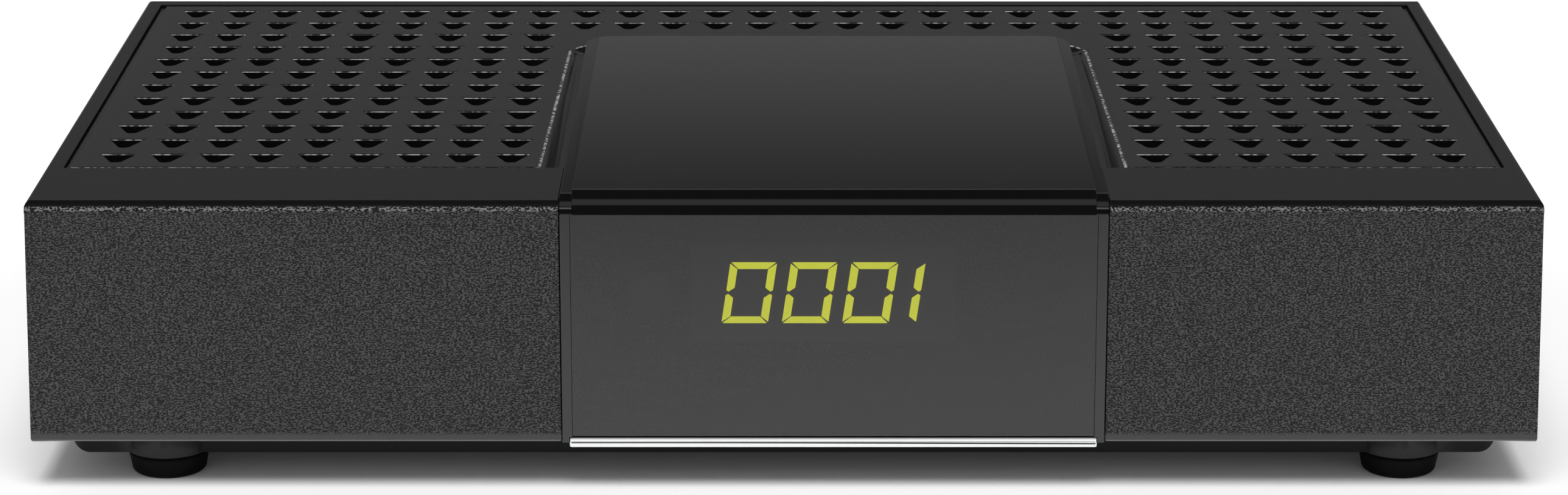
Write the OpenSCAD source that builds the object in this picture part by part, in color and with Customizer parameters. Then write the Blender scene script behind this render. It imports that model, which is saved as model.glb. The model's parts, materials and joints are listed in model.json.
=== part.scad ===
// Cable television receiver: a flat set-top box with a lit four-digit display.
// Every piece is drawn from the front plane (y = 0, +y to the back) and then centred by place().

/* [Case] */
// Width of the case at its lower rim
case_w = 220; // [200:1:260]
// Depth of the case from the front plane to the rear edge
case_d = 129.5; // [124:0.5:170]
// Height of the case's top above the table
case_top = 43.5; // [41:0.5:60]
// Height of the case's lower rim above the table
rim_z = 7.3; // [6.5:0.1:9]
// Thickness of the housing's walls
wall = 2.2; // [1.8:0.1:3]
// Lean of the side walls, in degrees
side_draft = 1; // [0:0.1:2]
// Round of the front top edge
edge_r = 1.7; // [0.6:0.05:2]
// Round of the side top edges
side_r = 0.8; // [0.4:0.1:1.5]
// Gap between parts that are dropped into one another
case_gap = 0.3; // [0.2:0.05:0.5]

/* [Vent grille] */
// Plain strip of the case in front of the grille
front_strip = 19.45; // [16:0.05:24]
// Plain strip of the case beside the grille
side_strip = 2.75; // [2:0.05:4]
// Plain strip of the case behind the grille
rear_strip = 2.9; // [2.5:0.05:5]
// Width of the groove round the grille
groove_w = 0.95; // [0.5:0.05:1.5]
// Depth of that groove
groove_d = 0.45; // [0.2:0.05:1]
// Thickness of the grille
grille_t = 2.8; // [2.6:0.1:4]
// Width of the ledge that the grille lies on
ledge_w = 2.5; // [1.5:0.1:4]
// Thickness of that ledge
ledge_t = 2; // [1.5:0.1:3]
// Width of a vent at its straight rear edge
vent_w = 5.1; // [4:0.1:6]
// Length of a vent from rear edge to tip
vent_l = 4.8; // [3.5:0.1:6]
// Round of a vent's tip
vent_tip_r = 0.9; // [0.5:0.1:1.4]
// Pitch of the vents across the grille
vent_pitch_x = 7.35; // [6.8:0.05:10]
// Pitch of the vent rows
vent_pitch_y = 8.625; // [7:0.025:11]
// Distance from the grille's side to the middle of the first vent
vent_margin_x = 6.2; // [5:0.05:10]
// Distance from the grille's rear edge to the last row's rear edge
vent_margin_y = 3.5; // [3:0.1:8]

/* [Centre cover] */
// Width of the glossy cover
cover_w = 79.2; // [70:0.1:90]
// Middle of the cover, to the right of the case's middle
cover_x = 7.2; // [0:0.05:12]
// Length of the cover's top panel from the front plane
cover_l = 98.5; // [80:0.5:102]
// Wall of the cover
cover_t = 2; // [1.6:0.1:2.4]
// How far the cover's top stands above the case's top
cover_rise = 1.25; // [0.6:0.05:1.5]
// Width of the lower strips along the cover's sides
cover_strip_w = 1.8; // [1:0.1:3]
// How far those strips lie below the cover's top at their front
cover_strip_drop = 0.47; // [0.2:0.01:0.8]
// How far they lie below it at their rear
cover_strip_end = 0.08; // [0:0.01:0.2]
// Round of the cover's nose
nose_r = 3.1; // [2.6:0.05:4]
// Angle at which that round turns into the flat above the window
nose_arc = 64; // [50:1:80]
// Round of the cover's rear corners
cover_corner_r = 4.5; // [2:0.5:8]
// Width of the jambs beside the window
jamb_w = 1.5; // [1.2:0.1:3]
// Gap between the cover and what surrounds it
cover_gap = 0.15; // [0.1:0.05:0.5]
// Radius of the scooped channels beside the cover
moat_r = 3.9; // [3:0.1:6]
// Round of the channels' outer edges
moat_edge_r = 2.5; // [1:0.1:2.6]
// Depth of the channels at their front end
moat_front = 2; // [1.2:0.1:2.1]
// Depth of the channels at their rear end
moat_rear = 1; // [0.5:0.1:1.2]

/* [Window and display] */
// How far the window lies behind the front plane
window_recess = 0.15; // [0.05:0.05:0.4]
// Gap round the window
window_gap = 0.15; // [0.1:0.05:0.3]
// Height of the chrome strip under the window
chrome_h = 1.6; // [1:0.05:2]
// Thickness of the chrome strip
chrome_t = 0.8; // [0.5:0.1:1]
// How far the chrome strip reaches below the case's rim
chrome_drop = 1; // [0.4:0.05:1.2]
// How far the chrome strip laps over the jambs
chrome_lap = 0.45; // [0:0.05:1]
// Middle of the display across the case
display_x = 5.7; // [0:0.05:10]
// How far the display's middle lies below the case's top
display_drop = 14; // [12:0.1:16]
// Height of a digit
digit_h = 9.15; // [7:0.05:10]
// Width of a digit
digit_w = 6.75; // [5:0.05:7]
// Pitch of the digits
digit_pitch = 8.77; // [8:0.01:10]
// Step to the last place, which is narrow and shows only a one
last_pitch = 3.95; // [3.5:0.05:5]
// Slant of the digits, in degrees
digit_slant = 8.4; // [0:0.1:12]
// Thickness of the level segments
segment_level = 0.95; // [0.6:0.05:1.2]
// Thickness of the upright segments
segment_upright = 1.15; // [0.6:0.05:1.4]
// Gap between two segments
segment_gap = 0.2; // [0.1:0.05:0.4]
// Thickness of a segment's light bar
segment_t = 0.25; // [0.15:0.05:0.3]
// Width of the display block
led_w = 38; // [36:0.5:42]
// Height of the display block
led_h = 14.2; // [12:0.1:16]
// Depth of the display block
led_d = 7.2; // [6:0.1:9]

/* [Base and feet] */
// How far the base pan's sides lie inside the case's sides
pan_inset = 5.3; // [4:0.1:8]
// How far the base pan's front lies behind the front plane
pan_setback = 6; // [5.5:0.1:8]
// Height of the base pan's underside above the table
pan_z = 3.6; // [3:0.1:4.5]
// Thickness of the base tray's walls
base_t = 2; // [1.6:0.1:2.6]
// Round of the pan's lower corners
pan_r = 2.4; // [1:0.1:3]
// Thickness of the flange that closes the case from below
flange_t = 2; // [1.6:0.1:3]
// Diameter of a foot
foot_d = 12; // [9:0.5:14]
// Distance of a foot's middle from the base pan's side
foot_inset = 13.5; // [12:0.1:24]
// Distance of the front feet's middle from the front plane
foot_front = 9.5; // [8.5:0.1:11]
// Distance of the rear feet's middle from the case's rear edge
foot_rear = 22; // [20:0.5:40]
// Diameter of a foot's stem in its seat
foot_stem_d = 8; // [5:0.5:8.5]

/* [Boards] */
// Gap between the main board and the screw posts beside it
board_side_gap = 1.5; // [0.8:0.1:3]
// Thickness of the boards
board_t = 1.6; // [1:0.1:2]
// How far the main board lies above the base's flange
board_lift = 2.5; // [1.5:0.1:3]
// Distance of the main board's front edge from the front plane
board_front = 26; // [25:0.5:27]
// Gap between the main board and the rear panel
board_rear_gap = 2.5; // [1.5:0.1:3]
// Thickness of the rear panel
panel_t = 1.2; // [0.8:0.1:1.6]
// How far the rear panel's face lies inside the case's rear edge
panel_recess = 1.8; // [1:0.1:2]

/* [Rear sockets] */
// How far the longest sockets reach behind the case
socket_reach = 9; // [7:0.5:12]
// Clearance of a socket in the rear panel
socket_gap = 0.35; // [0.25:0.05:0.5]
// Distance of the power jack from the main board's left edge
jack_margin = 1.5; // [1:0.5:4]
// Distance of the tuner can from the main board's right edge
tuner_margin = 9; // [7:0.5:12]

/* [Power switch] */
// Half width of the switch body
switch_half_w = 6.6; // [6.4:0.1:7]
// Half height of the switch body
switch_half_h = 4.2; // [4:0.1:5]
// Depth of the switch body
switch_l = 14; // [13.5:0.1:16]
// Radius that the rocker sweeps
rocker_r = 5.4; // [5:0.1:5.6]
// Half height of the rocker
rocker_half_h = 3; // [2.4:0.1:3]
// Tilt of the rocker each way, in degrees
rocker_tilt = 10; // [6:0.5:12]
// Tilt of the contact lever each way, in degrees
lever_tilt = 8; // [5:0.5:10]
// Radius of the rocker's pivot pins
pivot_r = 1; // [0.8:0.1:1.2]
// Running clearance of the pivots
pivot_gap = 0.05; // [0.02:0.01:0.08]
// Clearance between the rocker and the switch body
rocker_gap = 0.3; // [0.2:0.05:0.4]

/* [Hidden] */
$fn = 48;
over = 1;
touch = 0.03;

// Overall frame
front_y = -(case_d + socket_reach) / 2;
half_bot = case_w / 2;
half_top = half_at(case_top);
ceiling_z = case_top - wall;

// Grille and the opening that it lies in
opening_x = half_top - side_strip;
opening_y0 = front_strip;
opening_y1 = case_d - rear_strip;
grille_x = opening_x - groove_w;
grille_y0 = opening_y0 + case_gap;
grille_y1 = opening_y1 - groove_w;
grille_z0 = case_top - grille_t;
ledge_z0 = grille_z0 - ledge_t;

// Cover and the saddle that it sits on
cover_x0 = cover_x - cover_w / 2;
cover_x1 = cover_x + cover_w / 2;
cover_top = case_top + cover_rise;
cover_z0 = cover_top - cover_t;
nose_z = cover_top - nose_r;
strip_nose_r = nose_r - cover_strip_drop;
saddle_back = cover_t + wall;
saddle_lap = 3;
moat_end = cover_l - cover_corner_r;
moat_runout = 5;
moat_w = moat_reach(moat_front);
moat_edge_share = moat_edge_r / (moat_r + moat_edge_r);

// Vent columns and rows that fit round the cover
vent_first = grille_x - vent_margin_x;
vent_last_y = grille_y1 - vent_margin_y;
vent_web = 0.2;
vent_front_web = 1.5;
vent_cover_web = 2.8;
vent_left = floor((vent_first + cover_x0 - moat_w - vent_w / 2 - vent_web) / vent_pitch_x);
vent_right = floor((vent_first - cover_x1 - moat_w - vent_w / 2 - vent_web) / vent_pitch_x);
vent_across = floor((2 * vent_first - (vent_right + 1) * vent_pitch_x) / vent_pitch_x);
vent_rows = floor((vent_last_y - vent_l - grille_y0 - vent_front_web) / vent_pitch_y);
vent_back_rows = floor((vent_last_y - vent_l - cover_l - vent_cover_web) / vent_pitch_y);

// Window and chrome strip
window_x0 = cover_x0 + jamb_w;
window_x1 = cover_x1 - jamb_w;
chrome_z0 = rim_z - chrome_drop;
chrome_z1 = chrome_z0 + chrome_h;
chrome_x0 = window_x0 - chrome_lap;
chrome_x1 = window_x1 + chrome_lap;
jamb_drop = 0.2;

// Base pan, flange and feet
pan_x = half_bot - pan_inset;
pan_y0 = pan_setback;
pan_y1 = case_d - pan_setback;
flange_z1 = rim_z + flange_t;
flange_x = half_at(flange_z1) - wall - case_gap;
flange_y0 = wall + case_gap;
flange_notch = saddle_back + case_gap;
flange_y1 = case_d - case_gap;
foot_x = pan_x - foot_inset;
foot_boss_drop = 0.2;
foot_lip = 0.3;
foot_z = pan_z - foot_boss_drop;
foot_boss_r = foot_d / 2 + foot_lip;
foot_seat = 1.6;
foot_taper = 0.5;
foot_round = 0.8;
foot_fit = 0.1;
slot_l = 22;
slot_w = 2;
slot_pitch = 6;
slot_count = 9;

// Case screws, and the posts of the housing that they go into
screw_inset = 3.9;
screw_x = pan_x - base_t - screw_inset;
screw_front = 19;
screw_rear_gap = 9.5;
screw_rear = case_d - screw_rear_gap;
screw_boss_r = 4;
screw_post_r = 3.5;
screw_boss_rise = 1.1;
screw_boss_top = flange_z1 + screw_boss_rise;
screw_head_r = 2.8;
screw_head_h = 1.8;
screw_r = 1.2;
screw_fit = 0.05;
screw_room = 0.3;
screw_share = 0.7;
screw_sink = 0.4;
pilot_l = 12;
gusset = 13;

// Rear panel
panel_y1 = case_d - panel_recess;
panel_y0 = panel_y1 - panel_t;
panel_side_gap = 0.4;
panel_top_gap = 0.1;
panel_x = half_top - wall - panel_side_gap;
panel_z1 = ceiling_z - panel_top_gap;
panel_groove = 1.2;
panel_z0 = flange_z1 - panel_groove;
panel_screw_inset = 3.2;
panel_screw_rise = 5;
panel_screw_x = half_top - wall - panel_screw_inset;
panel_screw_z = (rim_z + case_top) / 2 + panel_screw_rise;
panel_boss = 4;
panel_boss_l = 10;
panel_head_r = 2.4;
panel_head_h = 1.4;
small_screw_r = 0.85;
small_head_r = 1.8;
small_head_h = 1.3;

// Main board and what stands on it
board_y0 = board_front;
board_y1 = panel_y0 - board_rear_gap;
board_w = 2 * (screw_x - screw_post_r - board_side_gap);
board_z = flange_z1 + board_lift;
board_top = board_z + board_t;
board_hole_inset = 4;
board_hole_setback = 8;
board_hole_rear_gap = 24.5;
board_hole_x = board_w / 2 - board_hole_inset;
board_hole_front = board_y0 + board_hole_setback;
board_hole_rear = board_y1 - board_hole_rear_gap;
standoff_r = 3;
standoff_floor = 1;
board_screw_r = 1.2;
board_screw_l = 4;
board_head_r = 2.4;
board_head_h = 1.5;
chip_x = 0;
chip_setback = 46;
chip_y = board_y0 + chip_setback;
chip_w = 17;
chip_t = 1.6;
pad_w = 15;
pad_t = 0.5;
sink_w = 32;
sink_base = 3;
sink_h = 11;
sink_fins = 9;
fin_t = 1.1;
sink_z0 = board_top + chip_t + pad_t;
sink_pin_inset = 2.5;
sink_pin_at = sink_w / 2 - sink_pin_inset;
sink_pin_r = 1.2;
sink_pin_fit = 0.1;
sink_pin_below = 1.5;
sink_head_r = 2.4;
sink_head_h = 1.5;
sink_head_room = 0.2;

// Memory beside the sink on the left, flash and crystal on the right
memory_w = 9;
memory_l = 13.5;
memory_t = 1.1;
memory_pitch = 18;
memory_gap = 7.5;
memory_x = chip_x - sink_w / 2 - memory_gap - memory_w / 2;
flash_w = 6;
flash_l = 8;
flash_t = 1.2;
flash_gap = 9;
flash_shift = -8;
flash_x = chip_x + sink_w / 2 + flash_gap + flash_w / 2;
crystal_w = 11;
crystal_l = 4.6;
crystal_h = 3.6;
crystal_r = 2.2;
crystal_gap = 6.5;
crystal_shift = 10;
crystal_x = chip_x + sink_w / 2 + crystal_gap + crystal_w / 2;

// Power parts, in columns between the board's left edge and the memory
power_margin = 3;
power_columns = 4;
power_rows = 3;
power_setback = 22;
power_row = 11;
power_x0 = -board_w / 2 + power_margin;
power_column = (memory_x - memory_w / 2 - power_margin - power_x0) / power_columns;
large_can_r = 4;
large_can_h = 11.5;
small_can_r = 3.15;
small_can_h = 7.7;
crimp_z = 0.8;
crimp_d = 0.4;
regulator_w = 5;
regulator_l = 6;
regulator_t = 1.6;
coil_w = 7.2;
coil_base = 1;
coil_r = 3.2;
coil_h = 4.2;

// Display block, its board and the ribbon cable
display_z = case_top - display_drop;
segment_y0 = cover_t + window_gap;
led_y0 = segment_y0 + segment_t;
led_y1 = led_y0 + led_d;
led_fit = 0.2;
nib_outer = 0.42;
nib_inner = 0.8;
nib_share = 0.3;
header_w = 14;
header_h = 4.5;
header_d = 5;
ribbon_w = 12;
ribbon_t = 0.9;
ribbon_bend = 3;
ribbon_z1 = board_top + header_h;
header_rise = 1;
header_z = ribbon_z1 + ribbon_bend + header_rise;
display_board_w = 72;
display_board_lip = 1;
display_board_head = 1.9;
display_board_z0 = header_z - header_h / 2 - display_board_lip;
display_board_z1 = display_z + led_h / 2 + display_board_head;
display_board_y1 = led_y1 + board_t;
ribbon_y0 = display_board_y1 + header_d;
ribbon_y1 = board_y0 + header_d;
display_post_inset = 5;
display_post_x = display_board_w / 2 - display_post_inset;
display_post_r = 2.5;
display_post_lip = 0.5;
display_post_z = display_board_z0 + display_post_r + display_post_lip;
ir_x = display_x - (led_w / 2 + display_post_x) / 2;
ir_r = 2.3;
ir_w = 5.4;
ir_h = 6.8;
ir_room = 0.9;
ir_setback = 0.8;

// Sockets, shared out across the rear panel with equal gaps
socket_proud = 0.6;
jack_w = 9;
usb_w = 13.1;
audio_w = 10;
hdmi_w = 15;
scart_w = 50;
tuner_w = 30;
socket_widths = jack_w + 2 * switch_half_w + usb_w + audio_w + hdmi_w + scart_w + tuner_w;
socket_space = (board_w - jack_margin - tuner_margin - socket_widths) / 6;
jack_x = -board_w / 2 + jack_margin + jack_w / 2;
switch_x = jack_x + jack_w / 2 + socket_space + switch_half_w;
usb_x = switch_x + switch_half_w + socket_space + usb_w / 2;
audio_x = usb_x + usb_w / 2 + socket_space + audio_w / 2;
hdmi_x = audio_x + audio_w / 2 + socket_space + hdmi_w / 2;
tuner_x = board_w / 2 - tuner_margin - tuner_w / 2;
scart_x = tuner_x - tuner_w / 2 - socket_space - scart_w / 2;

// Tuner can and aerial sockets
tuner_l = 42;
tuner_h = 13.5;
tuner_wall = 0.5;
tuner_y0 = board_y1 - tuner_l;
rf_pitch = 15;
rf_lift = 7.5;
rf_z = board_top + rf_lift;
rf_in_x = tuner_x + rf_pitch / 2;
rf_out_x = tuner_x - rf_pitch / 2;
rf_y1 = case_d + socket_reach;
rf_in_r = 5.6;
rf_in_bore = 4.8;
rf_contact_r = 2.1;
rf_contact_bore = 1.2;
rf_out_r = 4.75;
rf_out_bore = 4;
rf_pin_r = 1.17;
rf_collar = 0.6;
rf_collar_y1 = panel_y1 + socket_proud;
rf_floor = rf_collar_y1;
rf_disc_t = 1.5;
rf_contact_short = 1.5;
rf_contact_floor = 2;
rf_pin_short = 0.5;

// Other sockets
scart_h = 19;
scart_l = 15;
scart_y0 = panel_y0 - scart_l;
scart_y1 = panel_y1 + socket_proud;
scart_z = board_top + scart_h / 2;
scart_ring_w = 45.6;
scart_ring_h = 13.2;
scart_ring_t = 1.4;
scart_ring_l = 7;
scart_ring_r = 2;
scart_core_r = 1;
scart_slots = 10;
scart_pitch = 3.81;
scart_row = 2.3;
scart_slot = [1.3, 2.6];
scart_blade = [0.6, 2];
contact_short = 0.8;
hdmi_h = 5.8;
hdmi_wall = 0.4;
hdmi_l = 10;
hdmi_y0 = panel_y0 - hdmi_l;
hdmi_y1 = panel_y1 + socket_proud;
hdmi_skirt = 1.4;
hdmi_tongue_w = 10.5;
hdmi_tongue_t = 1;
usb_h = 5.8;
usb_wall = 0.4;
usb_l = 12;
usb_y0 = panel_y0 - usb_l;
usb_y1 = panel_y1 + socket_proud;
usb_tongue_w = 11.1;
usb_tongue_t = 1.9;
usb_tongue_rise = 0.6;
plug_back = 2.4;
audio_h = 12.6;
audio_l = 13;
audio_lift = 7.2;
audio_z = board_top + audio_lift;
audio_r = 4.15;
audio_bore = 3.4;
audio_core_r = 1.6;
audio_y0 = panel_y0 - audio_l;
audio_short = 1.5;
audio_y1 = case_d + socket_reach - audio_short;
audio_nose = 0.7;
audio_nose_r = audio_r + audio_nose;
audio_nose_y1 = panel_y1 + socket_proud;
audio_back = 0.4;
audio_floor = audio_nose_y1 + audio_back;
jack_h = 11;
jack_body_l = 13;
jack_lift = 6.3;
jack_y0 = panel_y0 - jack_body_l;
jack_y1 = panel_y1 + socket_proud;
jack_z = board_top + jack_lift;
jack_bore = 3.15;
jack_pin_r = 1;
jack_l = 9.5;

// Power switch, measured from the rocker's pivot
switch_y1 = panel_y1 + socket_proud;
pivot_depth = 3;
pivot_y = switch_y1 - pivot_depth;
switch_z = board_top + switch_half_h;
rocker_proud = 0.2;
rocker_valley = (pivot_depth + rocker_proud) / cos(rocker_tilt);
rocker_floor = 1.5;
rocker_boss_r = 2;
rocker_boss_l = 3.6;
plunger_r = 1.1;
plunger_tip = 6;
plunger_top = 0.5;
lever_drop = 0.75;
lever_y = plunger_tip + lever_drop;
lever_half_w = 4.2;
lever_half_h = 1.2;
lever_t = 0.4;
lever_lift = 0.15;
lever_pin_r = 0.5;
pin_end_gap = 0.1;
lever_pin_half = rocker_half_h - pin_end_gap;
lever_room_x = 4.7;
lever_room_h = 2.4;
lever_room_back = 1.9;
lever_room_y0 = lever_y + lever_room_back;
lever_room_y1 = 4;
blade_w = 2;
blade_t = 0.6;
blade_x = 3.4;
blade_gap = 0.15;
blade_y = lever_y + lever_half_w * sin(lever_tilt) + blade_gap;
leg_w = 1;
leg_room = 0.2;
leg_out = 1.4;
leg_y = switch_l - pivot_depth + leg_out;
leg_below = 0.6;
mark_d = 0.3;
mark_bar = [0.5, 2.4];
mark_ring_r = 1.2;
mark_ring_bore = 0.75;
mark_share = 0.45;

// Half width of the case at height z
function half_at(z) = half_bot - (z - rim_z) * tan(side_draft);

// Depth of the channel beside the cover at its front and rear, as the lean of its axis
function moat_lean() = atan((moat_front - moat_rear) / (moat_end - opening_y0));

// Reach of the channel with its rounded outer edge, from the cover's side, where it is this deep
function moat_reach(depth) = sqrt(2 * (moat_r + moat_edge_r) * depth - depth * depth);

// Place of the base's vent slot i
function slot_y(i) = case_d / 2 + (i - (slot_count - 1) / 2) * slot_pitch;

// Points of a round from angle a0 to a1
function arc_points(x, y, r, a0, a1, steps) =
    [for (i = [0 : steps]) let (a = a0 + (a1 - a0) * i / steps) [x + r * cos(a), y + r * sin(a)]];

// Moves a piece from the front plane to its place round the origin
module place() {
    translate([0, front_y, 0]) children();
}

// Box between two corners
module block(low, high) {
    translate(low) cube(high - low);
}

// Outline in y and z, drawn out from x0 to x1
module across(x0, x1) {
    translate([x0, 0, 0]) rotate([90, 0, 90]) linear_extrude(x1 - x0) children();
}

// Outline in x and z, drawn out from y0 to y1
module along(y0, y1) {
    translate([0, y1, 0]) rotate([90, 0, 0]) linear_extrude(y1 - y0) children();
}

// Round bar along y
module bar(r, x, z, y0, y1) {
    translate([x, y0, z]) rotate([-90, 0, 0]) cylinder(r = r, h = y1 - y0);
}

// Rectangle with round corners, centred
module rounded(w, h, r) {
    square([w - 2 * r, h], center = true);
    square([w, h - 2 * r], center = true);
    for (x = [-1, 1], y = [-1, 1])
        translate([x * (w / 2 - r), y * (h / 2 - r)]) circle(r);
}

// Screw with its head's underside at z = 0 and its shank along +z
module screw(head_r, head_h, r, l) {
    difference() {
        union() {
            translate([0, 0, -head_h]) cylinder(r = head_r, h = head_h);
            cylinder(r = r, h = l);
        }
        for (turn = [0, 90])
            rotate([0, 0, turn]) translate([0, 0, -head_h])
                cube([head_r * 1.2, head_r * 0.28, head_h * 0.9], center = true);
    }
}

// Upper housing
module case_outline() {
    right_x = half_at(case_top - side_r) - side_r;
    polygon(concat(
        [[-half_bot, rim_z], [half_bot, rim_z]],
        arc_points(right_x, case_top - side_r, side_r, 0, 90, 6),
        arc_points(-right_x, case_top - side_r, side_r, 90, 180, 6)));
}

// What a round of radius r takes off a front top corner at height top
module nose_corner(top, r) {
    difference() {
        translate([-over, top - r]) square([r + over, r + over]);
        translate([r, top - r]) circle(r);
    }
}

module front_edge_outline() {
    difference() {
        translate([0, rim_z - over]) square([case_d, case_top - rim_z + over]);
        nose_corner(case_top, edge_r);
    }
}

module case_hollow() {
    along(wall, case_d + over)
        polygon([
            [-(half_bot - wall), rim_z - over], [half_bot - wall, rim_z - over],
            [half_top - wall, ceiling_z], [-(half_top - wall), ceiling_z]]);
}

module housing_shell() {
    difference() {
        intersection() {
            along(0, case_d) case_outline();
            across(-case_w, case_w) front_edge_outline();
        }
        case_hollow();
    }
    block([-(half_top - wall / 2), opening_y0 - ledge_w, ledge_z0],
          [half_top - wall / 2, panel_y0, ceiling_z + wall / 2]);
    block([cover_x0 - saddle_lap, cover_t, rim_z],
          [cover_x1 + saddle_lap, saddle_back, ceiling_z + wall / 2]);
    for (x = [-1, 1])
        bar(display_post_r, display_x + x * display_post_x, display_post_z, cover_t + wall / 2, led_y1);
}

module housing_openings() {
    block([-opening_x, opening_y0, grille_z0], [opening_x, opening_y1, case_top + over]);
    block([-(grille_x - ledge_w), grille_y0 + ledge_w, ledge_z0 - over],
          [grille_x - ledge_w, grille_y1 - ledge_w, case_top]);
    block([cover_x0 - cover_gap, -over, rim_z - over], [cover_x1 + cover_gap, cover_t, case_top + over]);
    block([cover_x0 - cover_gap, -over, cover_z0],
          [cover_x1 + cover_gap, opening_y0 + over, case_top + over]);
    block([display_x - led_w / 2 - led_fit, 0, display_z - led_h / 2 - led_fit],
          [display_x + led_w / 2 + led_fit, led_y1, display_z + led_h / 2 + led_fit]);
    bar(ir_r + ir_room, ir_x, display_z, 0, saddle_back + over);
    for (x = [-1, 1])
        bar(small_screw_r + screw_fit, display_x + x * display_post_x, display_post_z,
            saddle_back, led_y1 + over);
}

module housing_posts() {
    for (x = [-1, 1]) {
        for (y = [screw_front, screw_rear])
            translate([x * screw_x, y, screw_boss_top])
                cylinder(r = screw_post_r, h = ledge_z0 + ledge_t / 2 - screw_boss_top);
        translate([x * (half_top - wall / 2 - gusset / 2), panel_y0 - gusset / 2, ledge_z0 + ledge_t / 2])
            cube([gusset, gusset, ledge_t], center = true);
        translate([x * (panel_screw_x + panel_boss / 2), panel_y0 - panel_boss_l / 2, panel_screw_z])
            cube([panel_boss * 2, panel_boss_l, panel_boss * 2], center = true);
    }
}

module housing_pilots() {
    for (x = [-1, 1]) {
        for (y = [screw_front, screw_rear])
            translate([x * screw_x, y, screw_boss_top - over])
                cylinder(r = screw_r + screw_fit, h = pilot_l + over);
        bar(screw_r + screw_fit, x * panel_screw_x, panel_screw_z,
            panel_y0 - panel_boss_l + over, panel_y0 + over);
    }
}

module upper_housing() {
    color("#2c2c2e") place() difference() {
        union() {
            difference() {
                housing_shell();
                housing_openings();
            }
            intersection() {
                housing_posts();
                along(0, case_d) case_outline();
            }
        }
        housing_pilots();
    }
}

// Vent grille
module vent() {
    tip_y = vent_tip_r - vent_l;
    reach = sqrt(pow(vent_w / 2, 2) + pow(tip_y, 2));
    side = atan2(-tip_y, vent_w / 2) - acos(vent_tip_r / reach);
    polygon(concat(
        [[-vent_w / 2, 0], [vent_w / 2, 0]],
        arc_points(0, tip_y, vent_tip_r, side, -180 - side, 6)));
}

module vent_row(first, count, step, y) {
    for (i = [0 : count])
        translate([first + i * step, y, grille_z0 - over]) linear_extrude(grille_t + 2 * over) vent();
}

module vents() {
    for (row = [0 : vent_rows]) {
        y = vent_last_y - row * vent_pitch_y;
        vent_row(-vent_first, row <= vent_back_rows ? vent_across : vent_left, vent_pitch_x, y);
        vent_row(vent_first, vent_right, -vent_pitch_x, y);
    }
}

module moat_edge() {
    length = moat_end - opening_y0;
    turn = atan((moat_reach(moat_front) - moat_reach(moat_rear)) / length);
    translate([moat_w, opening_y0, case_top]) rotate([0, 0, turn]) difference() {
        block([-moat_edge_share * moat_w, -over, -moat_edge_share * moat_front], [0, length, over]);
        bar(moat_edge_r, 0, -moat_edge_r, -2 * over, length + over);
    }
}

module moat() {
    length = (moat_end - opening_y0) / cos(moat_lean());
    translate([0, opening_y0, case_top + moat_r - moat_front]) rotate([moat_lean() - 90, 0, 0]) {
        translate([0, 0, -over]) cylinder(r = moat_r, h = length + over);
        translate([0, 0, length]) cylinder(r1 = moat_r, r2 = moat_r - 1.3 * moat_rear, h = moat_runout);
    }
    moat_edge();
}

module vent_grille() {
    color("#29292b") place() difference() {
        union() {
            block([-grille_x, grille_y0, grille_z0], [grille_x, grille_y1, case_top]);
            block([case_gap - opening_x, grille_y0, grille_z0],
                  [opening_x - case_gap, opening_y1 - case_gap, case_top - groove_d]);
        }
        vents();
        translate([cover_x, 0, cover_z0]) linear_extrude(cover_rise + cover_t) cover_plan(cover_gap);
        translate([cover_x1, 0, 0]) moat();
        translate([cover_x0, 0, 0]) mirror([1, 0, 0]) moat();
    }
}

// Centre cover
module cover_plan(grow) {
    w = cover_w + 2 * grow;
    l = cover_l + grow;
    r = cover_corner_r + grow;
    translate([-w / 2, -over]) square([w, l - r + over]);
    translate([-w / 2 + r, -over]) square([w - 2 * r, l + over]);
    for (x = [-1, 1])
        translate([x * (w / 2 - r), l - r]) circle(r);
}

module panel_profile() {
    difference() {
        translate([0, nose_z]) square([cover_l, nose_r]);
        nose_corner(cover_top, nose_r);
        translate([0, nose_z]) rotate((nose_arc - 90) / 2) translate([-nose_r, 0]) square(nose_r);
    }
}

module strip_profile() {
    top = cover_top - cover_strip_drop;
    difference() {
        polygon([
            [0, nose_z], [cover_l, nose_z], [cover_l, cover_top - cover_strip_end],
            [strip_nose_r, top], [0, top]]);
        nose_corner(top, strip_nose_r);
    }
}

module centre_cover() {
    color("#0c0c0e") place() {
        difference() {
            intersection() {
                translate([cover_x, 0, 0]) linear_extrude(cover_top + over) cover_plan(0);
                union() {
                    for (x = [cover_x0, cover_x1 - cover_strip_w])
                        across(x, x + cover_strip_w) strip_profile();
                    across(cover_x0 + cover_strip_w, cover_x1 - cover_strip_w) panel_profile();
                }
            }
            block([cover_x0 - over, cover_t, nose_z - over], [cover_x1 + over, cover_l + over, cover_z0]);
        }
        difference() {
            for (x = [cover_x0, window_x1])
                block([x, 0, rim_z - jamb_drop], [x + jamb_w, cover_t, nose_z]);
            block([chrome_x0, -over, chrome_z0 - over], [chrome_x1, chrome_t, chrome_z1]);
        }
        block([window_x0, chrome_t, chrome_z0], [window_x1, cover_t, chrome_z1]);
    }
}

module display_window() {
    color("#1a1a1c") place()
        block([window_x0 + window_gap, window_recess, chrome_z1 + window_gap],
              [window_x1 - window_gap, cover_t, nose_z - window_gap]);
}

module chrome_strip() {
    color("#d8d8da") place()
        block([chrome_x0, 0, chrome_z0], [chrome_x1, chrome_t, chrome_z1]);
}

// Base tray and feet
module pan_outline() {
    h = flange_z1 - pan_z;
    translate([-pan_x, pan_z + pan_r]) square([2 * pan_x, h - pan_r]);
    translate([-pan_x + pan_r, pan_z]) square([2 * (pan_x - pan_r), h]);
    for (x = [-1, 1])
        translate([x * (pan_x - pan_r), pan_z + pan_r]) circle(pan_r);
}

module at_feet() {
    for (x = [-1, 1], y = [foot_front, case_d - foot_rear])
        translate([x * foot_x, y, 0]) children();
}

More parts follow.
